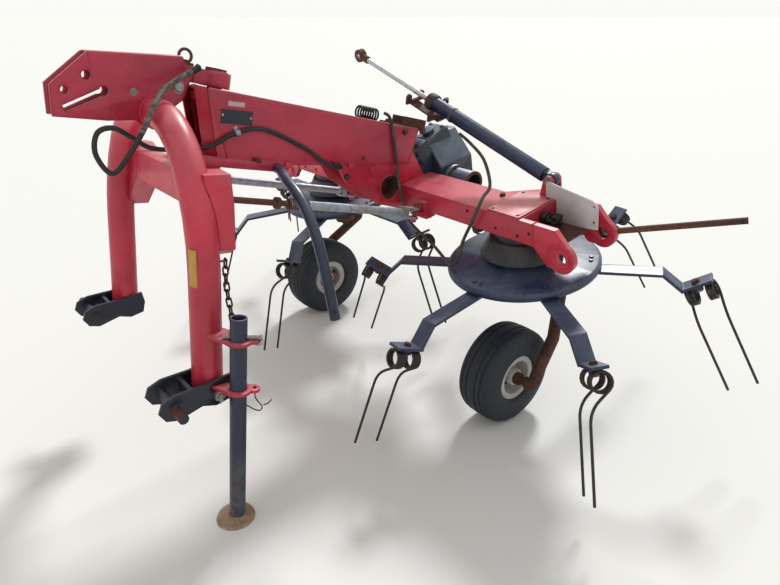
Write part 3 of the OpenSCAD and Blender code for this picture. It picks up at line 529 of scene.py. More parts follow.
def add_spin(bm, profile, at, axis, steps=48):
    """Turn a closed profile of (radius, along) points all the way round an axis."""
    axis = Vector(axis).normalized()
    side = axis.orthogonal().normalized()
    other = axis.cross(side)
    at = Vector(at)
    rings = []
    for i in range(steps):
        angle = math.tau * i / steps
        out = side * math.cos(angle) + other * math.sin(angle)
        rings.append([bm.verts.new(at + out * r + axis * z) for r, z in profile])
    for one, two in zip(rings, rings[1:] + rings[:1]):
        for i in range(len(profile)):
            j = (i + 1) % len(profile)
            bm.faces.new((one[i], one[j], two[j], two[i]))


def add_ring(bm, at, axis, inner, outer, length, steps=48):
    """A flat ring or short tube with its near face at a point."""
    cut = min(1.2, length * 0.3, (outer - inner) * 0.3)
    rim = [(outer - cut, 0), (outer, cut), (outer, length - cut), (outer - cut, length)]
    add_spin(bm, [(inner, 0), *rim, (inner, length)], at, axis, steps)


def circle(at, axis, radius, start=0, end=360, step=6):
    """Points on a circle or an arc, counted from the axis's own side direction."""
    axis = Vector(axis).normalized()
    side = axis.orthogonal().normalized()
    other = axis.cross(side)
    count = max(2, round(abs(end - start) / step))
    angles = [math.radians(start + (end - start) * i / count) for i in range(count + 1)]
    return [Vector(at) + radius * (side * math.cos(a) + other * math.sin(a)) for a in angles]


def along(place, points):
    """Points in millimetres in one of the part's frames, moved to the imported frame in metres."""
    return [place @ (Vector(p) / 1000) for p in points]


def wire_mesh(name, paths, radius, sides=3, closed=False, ripple=0.0):
    """The mesh of one or more bent wires, each a list of points on its centre line."""
    curve = bpy.data.curves.new(name, "CURVE")
    curve.dimensions = "3D"
    curve.bevel_depth = radius
    curve.bevel_resolution = sides
    curve.use_fill_caps = True
    for path in paths:
        spline = curve.splines.new("POLY")
        spline.points.add(len(path) - 1)
        for i, (point, place) in enumerate(zip(spline.points, path)):
            point.co = (*place, 1)
            point.radius = 1 + ripple * math.sin(2.1 * i)
        spline.use_cyclic_u = closed
    holder = bpy.data.objects.new(name, curve)
    bpy.context.scene.collection.objects.link(holder)
    mesh = bpy.data.meshes.new_from_object(holder.evaluated_get(bpy.context.evaluated_depsgraph_get()))
    bpy.data.objects.remove(holder)
    return mesh


def wire_piece(name, paths, radius, look, body, sides=3, replaces=(), closed=False, ripple=0.0):
    mesh = wire_mesh(name, paths, radius, sides, closed, ripple)
    return finish_piece(name, mesh, look, body, replaces, turn=50)


def spaced(points, step):
    """A path with a point every step millimetres or so."""
    points = [Vector(p) for p in points]
    result = [points[0]]
    for a, b in zip(points, points[1:]):
        count = max(1, round((b - a).length / step))
        result += [a.lerp(b, i / count) for i in range(1, count + 1)]
    return result


def weld(name, place, paths, body, radius=3.2, look=None, slot="faded_red_paint"):
    """Beads of weld along paths in millimetres, rippled as the torch leaves them."""
    beads = [along(place, spaced(path, radius * 0.8)) for path in paths]
    return wire_piece(name, beads, radius / 1000, look or SUNLIT_PAINTED_RED, body, sides=1, ripple=0.14)


def rounded(points, passes=2):
    """Cut the corners of a path a few times, keeping its ends, so that it bends smoothly."""
    points = [Vector(p) for p in points]
    for _ in range(passes):
        smoother = [points[0]]
        for a, b in zip(points, points[1:]):
            smoother += [a.lerp(b, 0.25), a.lerp(b, 0.75)]
        points = smoother + [points[-1]]
    return points


def through(points, steps):
    """A smooth curve that passes through every point, with steps pieces between two."""
    points = [Vector(p) for p in points]
    last = len(points) - 1
    curve = []
    for i in range(last):
        a, b, c, d = points[max(0, i - 1)], points[i], points[i + 1], points[min(last, i + 2)]
        for j in range(steps):
            t = j / steps
            bend, twist = 2 * a - 5 * b + 4 * c - d, 3 * b - a - 3 * c + d
            curve.append(0.5 * (2 * b + (c - a) * t + bend * t * t + twist * t ** 3))
    return curve + [points[-1]]


# %% [markdown]
# ## Hose and cable
# The hydraulic hose leaves its coupling on the top-link plates, hangs in one loop
# before the headstock and runs back along the beam. The cable hangs in a loop
# from the beam past the left rotor and up under the folding cylinder. Both follow
# the same points as the imported tubes, so they lie where the checks found room.

# %% Cords along their routes
HOSE_POINTS = [
    (946, 72, 1264), (1044, 96, 1224), (1108, 150, 1181), (1142, 160, 1133), (1185, 150, 1071),
    (1240, 140, 1017), (1270, 125, 1069), (1254, 112, 1121), (1210, 103, 1130), (1160, 84, 1098),
    (1100, 60, 1056), (1000, 60, 1040), (930, 84, 1046), (850, 86, 1074), (747, 84, 1075),
    (603, 84, 1000), (527, 84, 941), (470, 84, 918)]
LOOP_POINTS = [
    (256, 82.3, 1082), (228, 82.3, 1056), (204, 83, 940), (194, 84, 850), (190, 94, 790),
    (182, 118, 715), (176, 152, 662), (178, 275, 612), (222, 395, 594), (236, 430, 592),
    (212, 440, 606), (180, 434, 668), (180, 470, 745), (183, 500, 806), (150, 490, 838),
    (85, 460, 864), (14, 360, 925), (6, 285, 970), (20, 235, 1004)]


CORD_STEPS = 8


def length_of(path):
    return sum((b - a).length for a, b in zip(path, path[1:]))


def cord_piece(name, points, radius, look, node):
    """A hose or cable along points in millimetres, whose drawn length is printed."""
    path = through(along(PLACE, points), CORD_STEPS)
    curve = bpy.data.curves.new(name, "CURVE")
    curve.dimensions = "3D"
    curve.bevel_depth = radius
    curve.bevel_resolution = 4
    curve.use_fill_caps = True
    spline = curve.splines.new("POLY")
    spline.points.add(len(path) - 1)
    for point, place in zip(spline.points, path):
        point.co = (*place, 1)
    spline.use_smooth = True
    obj = bpy.data.objects.new(name, curve)
    bpy.context.scene.collection.objects.link(obj)
    curve.materials.append(look)
    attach(obj, "frame")
    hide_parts(node)
    print(name, "length", round(length_of(path), 3))


cord_piece("hose_run", HOSE_POINTS, 0.0072, HOSE_RUBBER, "hydraulic_hose")
cord_piece("cable_run", LOOP_POINTS, 0.006, CABLE_JACKET, "looped_cable")

# %% [markdown]
# ## Tines
# A tine pair is one length of spring wire, wound into two coils and ending in two
# legs. A coil is a helix, so its points come from an angle that grows while the
# place moves along the axis by one wire thickness a turn. Both legs leave their
# coils on a slant, bend, and run on straight to their tips.

# %% Wind the tines
ARM_END = 0.593
COIL_LOW = -0.037
COIL_RADIUS = 0.0305
WIRE = 0.0045
LEAVE = math.radians(37)
COIL_OUT = 0.0475
COIL_PITCH = 2.04 * WIRE
MOUNT_TURN = math.radians(-4)
MOUNT_RISE = math.radians(-30)
PHASES = {"left": 0, "right": 30}


def tine_path(end):
    """The centre line of one coil and its leg, with the coil's axis along X."""
    steps = 16
    turns = 3 + (math.pi - LEAVE) / math.tau
    inner = COIL_OUT - turns * COIL_PITCH
    path = [Vector((end * 0.010, 0, COIL_RADIUS))]
    count = round(turns * steps)
    for i in range(count + 1):
        turn = turns * i / count
        angle = math.tau * turn
        out = end * (inner + turn * COIL_PITCH)
        path.append(Vector((out, COIL_RADIUS * math.sin(angle), COIL_RADIUS * math.cos(angle))))
    start = path[-1]
    bend = start + 0.081 * Vector((0, -math.cos(LEAVE), -math.sin(LEAVE)))
    tip = Vector((start.x - 0.019, -0.074, -0.350))
    into, out = start.lerp(bend, 0.5), bend.lerp(tip, 0.15)
    for i in range(7):
        w = i / 6
        path.append(into.lerp(bend, w).lerp(bend.lerp(out, w), w))
    return path + [tip]


def tine_hold(name, arm):
    """The place of one pair of tines on one rotor."""
    return (
        TILTED[name]
        @ Matrix.Rotation(math.radians(PHASES[name] + 60 * arm), 4, "Z")
        @ Matrix.Translation((ARM_END, 0, COIL_LOW))
        @ Matrix.Rotation(MOUNT_TURN, 4, "Z")
        @ Matrix.Rotation(MOUNT_RISE, 4, "Y"))


for name in SIDES:
    wires = []
    for arm in range(6):
        hold = tine_hold(name, arm)
        wires += [[hold @ point for point in tine_path(end)] for end in (-1, 1)]
    wire_piece(
        f"tine_wires_{name}", wires, WIRE, SPRING_STEEL, f"rotor_{name}", sides=2,
        replaces=[f"tines_{name}"])
print("wound", 24, "coils")

# %% [markdown]
# ## Headstock
# The two top-link plates are one folded piece, so their tops get a rounded cover
# that closes the fold. Where a bent leg meets its plate the real joint is a ring
# of weld, and a bead is simply a thin wire whose thickness ripples.

# %% Folded top, welds and pins of the headstock
OUT = Vector((0, 1, 0))
UP = Vector((0, 0, 1))
AHEAD = Vector((1, 0, 0))

FOLD = [
    (-35.9, -70), (-36.4, -45), (-37.0, -20), (-37.4, -6), (-36.4, -1.2), (-33.4, 1.4), (-29, 2),
    (29, 2), (33.4, 1.4), (36.4, -1.2), (37.4, -6), (37.0, -20), (36.4, -45), (35.9, -70),
    (30, -70), (30, -1), (-30, -1), (-30, -70)]
TOP_EDGE = [(962, 1296), (966, 1298.8), (1090, 1309.6), (1216, 1320.5), (1221, 1319)]
bm = bmesh.new()
add_loft(bm, [[(x, y, z + h) for y, h in FOLD] for x, z in TOP_EDGE])
from_bmesh("folded_top", bm, BEAM_RED, "headstock")

LEG_WELD = 763.7
rings = [circle((0, side * 37.5, LEG_WELD), OUT, 46) for side in (1, -1)]
seams = [[(-12.5, side * 197, 618), (-12.5, side * 206, 530)] for side in (1, -1)]
seams += [[(-88, side * 195.5, 618.5), (-12.5, side * 195.5, 618.5)] for side in (1, -1)]
weld("headstock_welds", LEANED, rings + seams, "headstock")
seams = [[(18.8, y, 124), (18.8, y, 166)] for y in (-30, 30)]
weld("swivel_boss_welds", RAKED, [circle((-60, 0, 168.5), UP, 33)[:40], *seams], "headstock")

HITCH_PIN = (1267, 421)
HITCH_BOLT = (1143, 423)


def across(spot, y):
    """A point at a spot (x, z) of the side view, y to the left."""
    return Vector((spot[0], y, spot[1]))


bm = bmesh.new()
for side in (1, -1):
    out = OUT * side
    add_rod(bm, (990, side * 36, 1216), (990, side * 39.5, 1216), 18, 28)
    add_hex(bm, (990, side * 43, 1216), out, 26, 9)
    add_rod(bm, (1118, side * 28, 1211), (1118, side * 36.6, 1211), 11, 28)
    add_hex(bm, across(HITCH_BOLT, side * 434.5), out, 30, 13)
    add_rod(bm, across(HITCH_BOLT, side * 447), across(HITCH_BOLT, side * 451), 8, 18)
from_bmesh("headstock_bolts", bm, BRIGHT_STEEL, "headstock")

PIN_END = [(0.5, 485.6), (12, 485.6), (14.6, 483), (14.6, 462), (11, 460.5), (0.5, 461)]
bm = bmesh.new()
for side in (1, -1):
    out = OUT * side
    add_ring(bm, across(HITCH_PIN, side * 420), out, 13.6, 14.5, 65.4)
    add_ring(bm, across(HITCH_PIN, side * 314), -out, 13.6, 14.5, 11)
    add_ring(bm, across(HITCH_BOLT, side * 419.5), out, 10, 15.5, 5)
    add_spin(bm, PIN_END, across(HITCH_PIN, 0), out)
from_bmesh("hitch_pin_rust", bm, RUSTY_STEEL, "headstock")

clips = []
for side in (1, -1):
    clips.append([(1143, side * 449, 431), (1143, side * 449, 416), (1138, side * 451, 407)])
    clips.append([(1145, side * 449, 431), (1145, side * 449, 414), (1149, side * 452, 404)])
clips = [along(PLACE, rounded(path)) for path in clips]
wire_piece("split_pins", clips, 0.0024, GALVANISED, "headstock")

bm = bmesh.new()
for side in (1, -1):
    add_bolt(bm, (40, side * 13, 177), UP, 8)
from_bmesh("shackle_nuts", bm, RUSTY_STEEL, "headstock", place=RAKED)

STICKER = [math.radians(a) for a in range(6, 44, 6)]
STICKER_RADIUS = 44.75
LEG_FOOT = 367
SPLAY = math.tan(math.radians(2))
bm = bmesh.new()
rows = [
    [(STICKER_RADIUS * math.cos(a), LEG_FOOT - z * SPLAY + STICKER_RADIUS * math.sin(a), z) for a in STICKER]
    for z in (344, 396, 448)]
add_sheet(bm, rows, 0.4)
from_bmesh("blank_sticker", bm, YELLOW_FILM, "headstock", place=LEANED)

# %% [markdown]
# The parking stand slides in two lugs. Its foot has gone to sandy rust, a bright
# pin crosses the tube, and a bent wire clip hangs unused from the lower lug.

# %% Stand
bm = bmesh.new()
add_spin(bm, [(24.2, 0.3), (58.3, 0.3), (58.3, 1.5), (54.5, 9.4), (24.2, 9.8)], (1153.9, 467, 0), UP)
from_bmesh("foot_rust", bm, SANDY_RUST, "stand")
weld("foot_weld", PLACE, [circle((1148.5, 467, 10), UP, 25)], "stand", 3.5, SANDY_RUST, "rusty_steel")

bm = bmesh.new()
add_rod(bm, (-101.2, 498.3, 216), (-9.9, 445.5, 216), 6.4, 18)
add_rod(bm, (-102.5, 499.0, 216), (-97.3, 496.0, 216), 9, 18)
from_bmesh("stand_pin", bm, BRIGHT_STEEL, "stand", place=LEANED)
loop = circle((-93, 493.5, 205), (0.5, 0.87, 0), 13)
wire_piece("stand_pin_ring", [along(LEANED, loop)], 0.0016, GALVANISED, "stand")
clip = [
    (-28, 467, 21), (-62, 470, 5), (-111, 474, -37), (-123, 476, -21), (-94, 480, 15), (-89, 485, 46),
    (-89, 485, 62)]
twist = [(-123, 476, -15), (-136, 478, -14), (-150, 476, -5)]
clips = [along(LEANED, rounded(clip)), along(LEANED, twist)]
wire_piece("lug_clip", clips, 0.0019, RUSTY_STEEL, "headstock")
for z in (48, 200):
    weld(f"lug_weld_{z}", LEANED, [[(-34, 346, z + 9.5), (24, 382, z + 9.5)]], "headstock")

# %% [markdown]
# ## Main beam
# The beam is pressed sheet: its nose strips fold inwards, a doubler runs down each
# side and the fork below is welded on. A blank black plate, a blank label and a
# zinc clip for the hose sit on its left side.

# %% Beam nose, doublers, blank plate and hose clip
DOUBLER = [(-4, 116), (-40, -14), (-58, -78), (-93, -78), (-67, -14), (-8, 112)]
NOSE = [((-4, 75, 116), (30, 55, 121)), ((-40, 75, -14), (-8, 48, -12)), ((-58, 75, -78), (-30, 44, -76))]
bm = bmesh.new()
for side in (1, -1):
    add_prism(bm, DOUBLER, 3, at=(0, side * 76.5, 0))
    strip = []
    for ends in NOSE:
        a, b = (Vector((x, side * y, z)) for x, y, z in ends)
        strip.append([a, a + Vector((0.5, -side * 4, 0)), b + Vector((-3, -side * 3, 0)), b])
    add_loft(bm, strip)
    add_block(bm, (-312, side * 78, -76), (26, 6, 18))
    add_block(bm, (-573, side * 78, -52), (26, 6, 16))
from_bmesh("beam_nose", bm, SUNLIT_PAINTED_RED, "frame", place=RAKED)

TURN = Matrix.Rotation(math.radians(4), 4, "Y")
bm = bmesh.new()
add_block(bm, (-108.8, 75.8, 47.8), (105, 1.6, 42), TURN)
from_bmesh("blank_plate", bm, BLACK, "frame", place=RAKED)
bm = bmesh.new()
add_block(bm, (-103, 75.3, 86), (56, 0.8, 15), TURN)
from_bmesh("blank_label", bm, WHITE_FILM, "frame", place=RAKED)

HOSE_WAY = Vector((-0.92, 0, 0.39))
bm = bmesh.new()
for x, z in ((-61.4, 48.2), (-155, 51.4)):
    add_rod(bm, (x, 76.4, z), (x, 78.6, z), 4.4, 16, 3)
at = Vector((-112, 85.6, 1.3))
add_ring(bm, at - HOSE_WAY * 8, HOSE_WAY, 8.3, 10.2, 16)
add_block(bm, (-109, 76.6, 8), (15, 3, 26), Matrix.Rotation(math.radians(23), 4, "Y"))
add_bolt(bm, (-105.5, 78, 15), OUT, 8, washer=False)
from_bmesh("hose_clip", bm, GALVANISED, "frame", place=RAKED)

bm = bmesh.new()
for side in (1, -1):
    add_bolt(bm, (-190, side * 88, -78), UP, 14)
    add_bolt(bm, (-798, side * 75, 100), OUT * side, 12)
    add_bolt(bm, (-812, side * 52, 126), UP, 12)
from_bmesh("beam_bolts", bm, RUSTY_STEEL, "frame", place=RAKED)
seams, tops = [], []
for side in (1, -1):
    tops.append([(-14, side * 64, 116.5), (-866, side * 64, 116.5)])
    seams.append([(-64, side * 76, -76.5), (-300, side * 76, -76.5)])
    seams.append([(-66, side * 78, -14), (-92, side * 78, -76)])
weld("beam_top_seam", RAKED, tops, "frame", 3.4, PALE_RED)
weld("beam_welds", RAKED, seams, "frame")

# A black disc on the guard tube's end stands in for its open bore: painted shade of the hollow inside.
bm = bmesh.new()
toward = Vector((0.45, 0.88, 0.09))
tube_end = Vector((768, 476, 588))
add_rod(bm, tube_end + toward * 14, tube_end + toward * 17.3, 5.5, 20)
from_bmesh("guard_tube_bore_shade", bm, BLACK_STEEL, "frame")

# %% [markdown]
# The hose wears a flaking pale sleeve where it leaves its coupling, and ends in a
# crimped ferrule and a nut above the centre box.

# %% Ends of the hose
sleeve = through(along(PLACE, HOSE_POINTS[:5]), CORD_STEPS)[1:27]
wire_piece("hose_sleeve", [sleeve], 0.0078, FLAKED_SLEEVE, "frame", sides=4, ripple=0.05)
bm = bmesh.new()
back = Vector((-0.903, -0.221, 0.369))
start = Vector((946, 72, 1264))
add_rod(bm, start - back * 12, start + back * 8, 9.4, 24)
add_hex(bm, start + back * 8, back, 19, 9)
tail = Vector((-0.927, 0, -0.374))
end = Vector((470, 84, 918))
add_rod(bm, end - tail * 26, end + tail * 2, 9.4, 24)
add_hex(bm, end + tail * 2, tail, 20, 10)
add_rod(bm, end + tail * 12, (448, 72, 909), 7, 20)
from_bmesh("hose_fittings", bm, BLACK_STEEL, "frame")

# %% [markdown]
# ## Centre box and gearbox
# A rusty drum shows in the big hole of the centre box. The gearbox keeps a lighter
# blue-grey on its lid, rusty lips at its open necks and a dark seal inside each.

# %% Drum, gussets, lid and necks
DRUM = (218, 798)
NECK = (-75, 800)
bm = bmesh.new()
add_ring(bm, across(DRUM, -58), OUT, 36, 44, 116)
add_rod(bm, across(DRUM, -9), across(DRUM, 9), 37, 40)
from_bmesh("box_drum", bm, RUSTY_STEEL, "frame")
bm = bmesh.new()
for side in (1, -1):
    add_ring(bm, across(DRUM, side * 66.6), OUT * side, 45.5, 52, 2.6)
    add_prism(bm, [(290, 893), (318, 893), (306, 850)], 7, at=(0, side * 70, 0))
from_bmesh("box_rims", bm, SUNLIT_PAINTED_RED, "frame")
bm = bmesh.new()
for side in (1, -1):
    add_bolt(bm, (421, side * 67, 868.7), OUT * side, 12)
    add_bolt(bm, (51.7, side * 60, 996), OUT * side, 14)
    add_bolt(bm, (60, side * 67, 700), OUT * side, 12)
    add_bolt(bm, (350, side * 67, 930), OUT * side, 12)
from_bmesh("box_bolts", bm, RUSTY_STEEL, "frame")

# The casting's two boxes: rear, front, half of the width, bottom and top.
CASTING = ((-245, -75, 25, 206, 406), (-236, -60, 118, 195, 305))
bm = bmesh.new()
for rear, front, half, low, high in CASTING:
    for x in (rear, front):
        for y in (-half, half):
            for z in (low, high):
                bm.verts.new((x, y, z))
bmesh.ops.convex_hull(bm, input=bm.verts)
bmesh.ops.bevel(bm, geom=bm.edges[:], offset=9, segments=2, affect="EDGES", clamp_overlap=True)
from_bmesh("gearbox_casting", bm, GREY_CASTING, "frame", place=CROSS)

bm = bmesh.new()
add_block(bm, (-92, 0, 87.5), (132, 84, 5))
for x in (-148, -36):
    for y in (-34, 34):
        add_bolt(bm, (x, y, 90), UP, 8)
from_bmesh("gearbox_lid", bm, PALE_BLUE, "frame", place=GEARED)
bm = bmesh.new()
add_hex(bm, (-37, 64, 18), OUT, 24, 10)
add_hex(bm, (-37, -64, 18), -OUT, 24, 10)
for z in (-100, -60, 60, 96):
    for side in (1, -1):
        add_bolt(bm, (30, side * 64, z), OUT * side, 10)
        add_bolt(bm, (12, side * 52, 116), UP, 10)
for x, z in ((12, -90), (-8, -104), (-28, -116), (-48, -124)):
    add_bolt(bm, (x, 64 if x > -9 else 58, z), OUT, 8)
from_bmesh("gearbox_bolts", bm, DARK_CASTING, "frame", place=GEARED)
bm = bmesh.new()
for side in (1, -1):
    out = OUT * side
    add_ring(bm, across(NECK, side * 229), out, 35.6, 47.6, 6.6)
    for k in range(6):
        a = math.radians(60 * k + 12)
        add_bolt(bm, across(NECK, side * 140) + Vector((51 * math.cos(a), 0, 51 * math.sin(a))), out, 8)
from_bmesh("neck_lips", bm, RUSTY_STEEL, "frame")
bm = bmesh.new()
for side in (1, -1):
    add_ring(bm, across(NECK, side * 126), OUT * side, 17, 36.2, 8)
    add_rod(bm, across(NECK, side * 118), across(NECK, side * 168), 17, 18)
from_bmesh("neck_seals", bm, BLACK_STEEL, "frame")

# %% [markdown]
# ## Cross beam
# Bolts, weld seams, raised eyes and the rusted floors of the two open ends. The
# right half is the left one mirrored, so one loop draws both.

# %% Cross beam fittings
bm = bmesh.new()
dark = bmesh.new()
red = bmesh.new()
seams = []
for side in (1, -1):
    add_bolt(bm, (-12, side * 483, 285), UP, 11)
    add_block(bm, (-3.5, side * 735, 215.7), (190, 138, 1.4))
    for x in (-78, 78):
        for y in (-54, 54):
            add_hex(dark, (19 + x, side * (590 + y), 288), UP, 10, 4.5)
    add_ring(red, (115, side * 827, 193), AHEAD, 22.3, 35, 4)
    if side < 0:
        add_ring(red, (-122, side * 827, 193), -AHEAD, 22.3, 35, 4)
    add_rod(dark, (-3, side * 664, 250), (-3, side * 700, 250), 17, 24)
    add_rod(dark, (-3, side * 672, 250), (-3, side * 690, 250), 21, 24)
    add_block(dark, (-3, side * 712, 250), (54, 26, 16))
    for z in (234, 266):
        add_block(dark, (-3, side * 724, z), (34, 24, 7))
    for y, z in ((656, 226.6), (705, 247.6), (560, 230), (430, 262)):
        add_bolt(dark, (115, side * y, z), AHEAD, 6, washer=False)
    seams += [
        [(115.5, side * 720, 206), (115.5, side * 720, 284)],
        [(95, side * 720, 285.5), (115, side * 720, 285.5)],
        circle((115.8, side * 827, 193), AHEAD, 49)[8:54],
        [(115, side * 172, 184), (115, side * 172, 252)], [(115, side * 228, 184), (115, side * 228, 252)],
        [(115, side * 172, 252), (115, side * 228, 252)]]
for x in (-118, -110, -82, -74):
    seams.append([(x, 595, 285.5), (x, 659, 285.5)])
from_bmesh("cross_beam_rust", bm, RUSTY_STEEL, "frame", place=CROSS)
from_bmesh("cross_beam_bolts", dark, BLACK_STEEL, "frame", place=CROSS)
from_bmesh("hinge_eye_rings", red, SUNLIT_PAINTED_RED, "frame", place=CROSS)
weld("cross_beam_welds", CROSS, seams, "frame", 3)



def arc(x, y, radius, angles):
    """Points (x, y) of an arc about a centre, at angles in degrees."""
    return [(x + radius * math.cos(math.radians(a)), y + radius * math.sin(math.radians(a))) for a in angles]


bm = bmesh.new()
roll = arc(-78, 638, 16, range(0, 60, 11)) + arc(-78, 638, 12, range(55, -5, -11))
add_loft(bm, [[(x, y, z) for x, y in roll] for z in (296, 350)])
from_bmesh("guard_roll", bm, PALE_GREY, "frame", place=CROSS)

bm = bmesh.new()
for x, way in ((-122, -AHEAD), (-70, AHEAD)):
    add_ring(bm, (x - way[0] * 4, 635, 345), way, 8, 19, 3)
    add_rod(bm, (x, 635, 345), Vector((x, 635, 345)) + way * 5, 10, 20)
from_bmesh("ram_pin_ends", bm, BRIGHT_STEEL, "frame", place=CROSS)

# %% [markdown]
# ## Rotors and wheels
# Each arm is bolted through the disc, and each pair of tines hangs on one bolt.
# A hold matrix in metres becomes one in millimetres by scaling its translation.

# %% Rotor bolts and tine clamps


def in_mm(matrix):
    moved = matrix.copy()
    moved.translation *= 1000
    return moved


for name in SIDES:
    tops, clamps, nuts = bmesh.new(), bmesh.new(), bmesh.new()
    for arm in range(6):
        turn = Matrix.Rotation(math.radians(PHASES[name] + 60 * arm), 4, "Z")
        for radius, off, z in ((236, 13, 74.6), (236, -13, 74.6), (141, 0, 86.7)):
            add_hex(tops, turn @ Vector((radius, off, z)), turn.to_3x3() @ Vector((0.1, 0, 1)), 13, 4.5)
        hold = in_mm(TILTED[name].inverted() @ tine_hold(name, arm))
        up = hold.to_3x3() @ UP
        add_bolt(clamps, hold @ Vector((0, 0, 46.3)), up, 13)
        add_hex(nuts, hold @ Vector((0, 0, 18.2)), -up, 20, 9)
    rotor, place = f"rotor_{name}", TILTED[name]
    from_bmesh(f"rotor_bolts_{name}", tops, DARK_BLUE, rotor, place=place)
    from_bmesh(f"tine_bolts_{name}", clamps, RUSTY_STEEL, rotor, place=place)
    from_bmesh(f"tine_nuts_{name}", nuts, BRIGHT_STEEL, rotor, place=place)

# %% Wheel bolts, hub caps and leg bolts
WHEEL_AHEAD = 0.107
HALF_TRACK = 0.612
WHEEL_RADIUS = 0.185
WHEEL = {
    name: PLACE @ Matrix.Translation((WHEEL_AHEAD, side * HALF_TRACK, WHEEL_RADIUS))
    @ Matrix.Rotation(math.radians(-90 * side), 4, "X")
    for name, side in SIDES.items()}
for name in SIDES:
    bm = bmesh.new()
    for k in range(5):
        a = math.radians(72 * k + 20)
        add_bolt(bm, (47 * math.cos(a), 47 * math.sin(a), 5), UP, 10)
        add_bolt(bm, (47 * math.cos(a), 47 * math.sin(a), -26.5), -UP, 10)
    add_rod(bm, (60, 0, 10), (70, 0, 34), 3.5, 12)
    add_spin(bm, [(24, -58.5), (31, -58.5), (33, -55), (33, -46), (24, -46)], (0, 0, 0), UP)
    from_bmesh(f"rim_bolts_{name}", bm, RUSTY_STEEL, f"wheel_{name}", place=WHEEL[name])
    bm = bmesh.new()
    for k in range(4):
        a = math.radians(90 * k + 45)
        add_bolt(bm, (34 * math.cos(a), 34 * math.sin(a), -72), -UP, 12)
    from_bmesh(f"leg_bolts_{name}", bm, RUSTY_STEEL, "frame", place=TILTED[name])
    seam = circle((0, 0, -51.5), UP, 47)
    weld(f"leg_welds_{name}", TILTED[name], [seam], "frame", 3.5, RUSTY_STEEL, "rusty_steel")

# %% [markdown]
# ## Struts and folding cylinder
# Tie wire and stop rings on the struts, the gland at the cylinder's mouth with its
# hose port, the rusted eye and the plates that cradle the lowered cylinder.

# %% Struts
STRUT_Y = 200
STRUT_Z = -186
turns = []
for k in range(0, 12 * 5 + 1):
    a = math.tau * k / 12
    turns.append((-300 + 38 * k / 60, STRUT_Y + 17 * math.cos(a), STRUT_Z + 17 * math.sin(a)))
turns += [(-258, 216, -196), (-250, 222, -214), (-256, 220, -232)]
wire_piece("tie_wire", [along(RAKED, turns)], 0.0019, RUSTY_STEEL, "strut_tube_left")
bm = bmesh.new()
add_ring(bm, (-330, STRUT_Y, STRUT_Z), AHEAD, 14.8, 18.5, 18)
add_ring(bm, (-262, STRUT_Y, STRUT_Z), AHEAD, 10.6, 17.5, 6)
add_block(bm, (-322, STRUT_Y, -209), (16, 8, 14))
from_bmesh("strut_rings_left", bm, RUSTY_STEEL, "strut_tube_left", place=RAKED)
bm = bmesh.new()
add_ring(bm, (-204, -STRUT_Y, STRUT_Z), AHEAD, 10.6, 16.5, 6)
from_bmesh("strut_ring_right", bm, RUSTY_STEEL, "strut_tube_right", place=RAKED)
bm = bmesh.new()
for side in (1, -1):
    add_rod(bm, (-815, side * STRUT_Y, -154), (-815, side * STRUT_Y, -149), 13, 20)
from_bmesh("strut_pin_tops", bm, RUSTY_STEEL, "frame", place=RAKED)

# %% Folding cylinder
GLAND = [
    (26.2, 583), (31.5, 583), (33, 586), (33, 612), (31.5, 616.3), (10.6, 616.3), (10.6, 612), (26.2, 612)]
bm = bmesh.new()
add_spin(bm, GLAND, (0, 0, 0), UP)
port = Vector((-math.sin(math.radians(60)), 0, math.cos(math.radians(60))))
seat = Vector((-8, 0, 556))
add_hex(bm, seat + port * 40, port, 24, 12)
add_rod(bm, seat + port * 50, seat + port * 66, 8, 18)
from_bmesh("cylinder_gland", bm, SPRING_STEEL, "cylinder_barrel", place=RAMMED)
bm = bmesh.new()
add_spin(bm, [(12.7, -15), (23.5, -15), (25.5, -13), (25.5, 13), (23.5, 15), (12.7, 15)], (0, 0, 1052), AHEAD)
add_rod(bm, (0, 0, 1000), (0, 0, 1034), 15, 24)
from_bmesh("rod_eye_rust", bm, RUSTY_STEEL, "cylinder_rod", place=RAMMED)
turns = [
    (27.4 * math.cos(math.tau * k / 14), 27.4 * math.sin(math.tau * k / 14), 484 + 6 * k / 42)
    for k in range(43)]
wire_piece("barrel_wire", [along(RAMMED, turns)], 0.0018, FLAKED_SLEEVE, "cylinder_barrel")


def cradle(bottom, gap, lobe, height):
    """A plate open at the top: two lobes beside a gap above a flat foot."""
    outline = [(-gap - 2 * lobe, bottom), (-gap - 2 * lobe, height - lobe)]
    outline += arc(-gap - lobe, height - lobe, lobe, range(180, -1, -30))
    outline += [(-gap, bottom + 12), (gap, bottom + 12)]
    outline += arc(gap + lobe, height - lobe, lobe, range(180, -1, -30))
    return outline + [(gap + 2 * lobe, bottom)]


bm = bmesh.new()
for s, gap, bottom in ((700, 21, -44), (560, 34, -46)):
    shape = cradle(bottom, gap, 12, -4)
    add_loft(bm, [[(x, y, s + d) for x, y in shape] for d in (-5, 5)])
add_block(bm, (0, -48, 632), (40, 8, 178))
from_bmesh("cradle_plates", bm, RUSTY_STEEL, "frame", place=RAMMED)
print("added", len(made), "pieces")

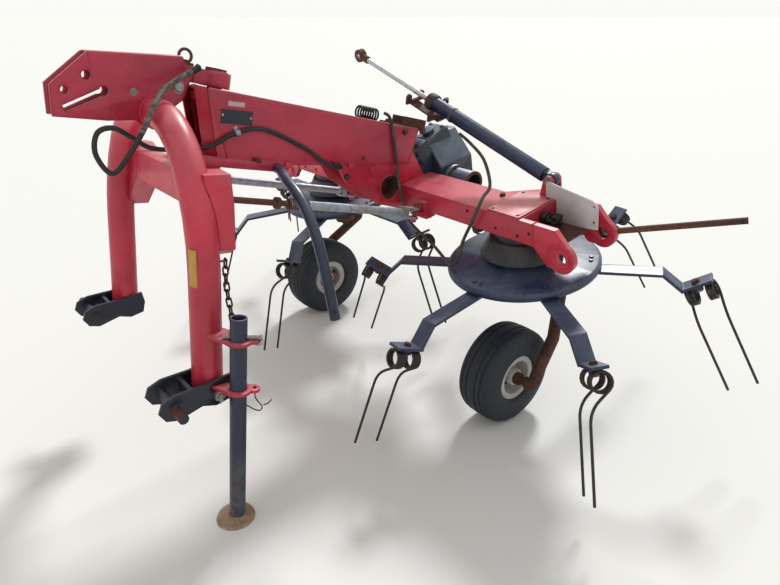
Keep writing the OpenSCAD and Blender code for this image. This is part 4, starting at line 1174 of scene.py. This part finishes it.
# %% [markdown]
# ## Floor and light
# A plain pale floor and a broad soft key from the photo's sunny side, with an even
# white sky for fill. The sky is plain white to the camera and in reflections, and
# dimmer as a lamp, so that a painted colour renders about as it is written.

# %% Stage
FLOOR_SIZE = 900
FLOOR_COLOUR = linear(228, 228, 225)
FLOOR_ROUGHNESS = 0.9
SUN_STRENGTH = 2.4
SUN_WIDTH = math.radians(10)
SUN_WAY = Vector((0.78, 0.5, -0.95))
SKY_COLOUR = linear(251, 250, 247)
SKY_FILL = 0.68
bpy.ops.mesh.primitive_plane_add(size=FLOOR_SIZE, location=(0, 0, 0))
floor = bpy.context.object
floor.name = "floor"
floor_paint = Finish("pale floor")
floor.data.materials.append(floor_paint.done(FLOOR_COLOUR, FLOOR_ROUGHNESS))

sun_data = bpy.data.lights.new("key", "SUN")
sun_data.energy = SUN_STRENGTH
sun_data.angle = SUN_WIDTH
sun = bpy.data.objects.new("key", sun_data)
sun.rotation_euler = SUN_WAY.to_track_quat("-Z", "Y").to_euler()
bpy.context.scene.collection.objects.link(sun)

world = bpy.data.worlds.new("sky")
bpy.context.scene.world = world
world.use_nodes = True
sky = world.node_tree
sky.nodes.clear()
ray = sky.nodes.new("ShaderNodeLightPath")
seen = sky.nodes.new("ShaderNodeMath")
seen.operation = "MAXIMUM"
sky.links.new(ray.outputs["Is Camera Ray"], seen.inputs[0])
mirrored = sky.nodes.new("ShaderNodeMath")
mirrored.operation = "MAXIMUM"
sky.links.new(ray.outputs["Is Glossy Ray"], mirrored.inputs[0])
sky.links.new(ray.outputs["Is Transmission Ray"], mirrored.inputs[1])
sky.links.new(mirrored.outputs[0], seen.inputs[1])
level = sky.nodes.new("ShaderNodeMapRange")
level.inputs["To Min"].default_value = SKY_FILL
level.inputs["To Max"].default_value = 1.0
sky.links.new(seen.outputs[0], level.inputs["Value"])
background = sky.nodes.new("ShaderNodeBackground")
background.inputs["Color"].default_value = SKY_COLOUR
sky.links.new(level.outputs[0], background.inputs["Strength"])
sky_out = sky.nodes.new("ShaderNodeOutputWorld")
sky.links.new(background.outputs[0], sky_out.inputs["Surface"])

bpy.context.scene.view_settings.view_transform = "Standard"
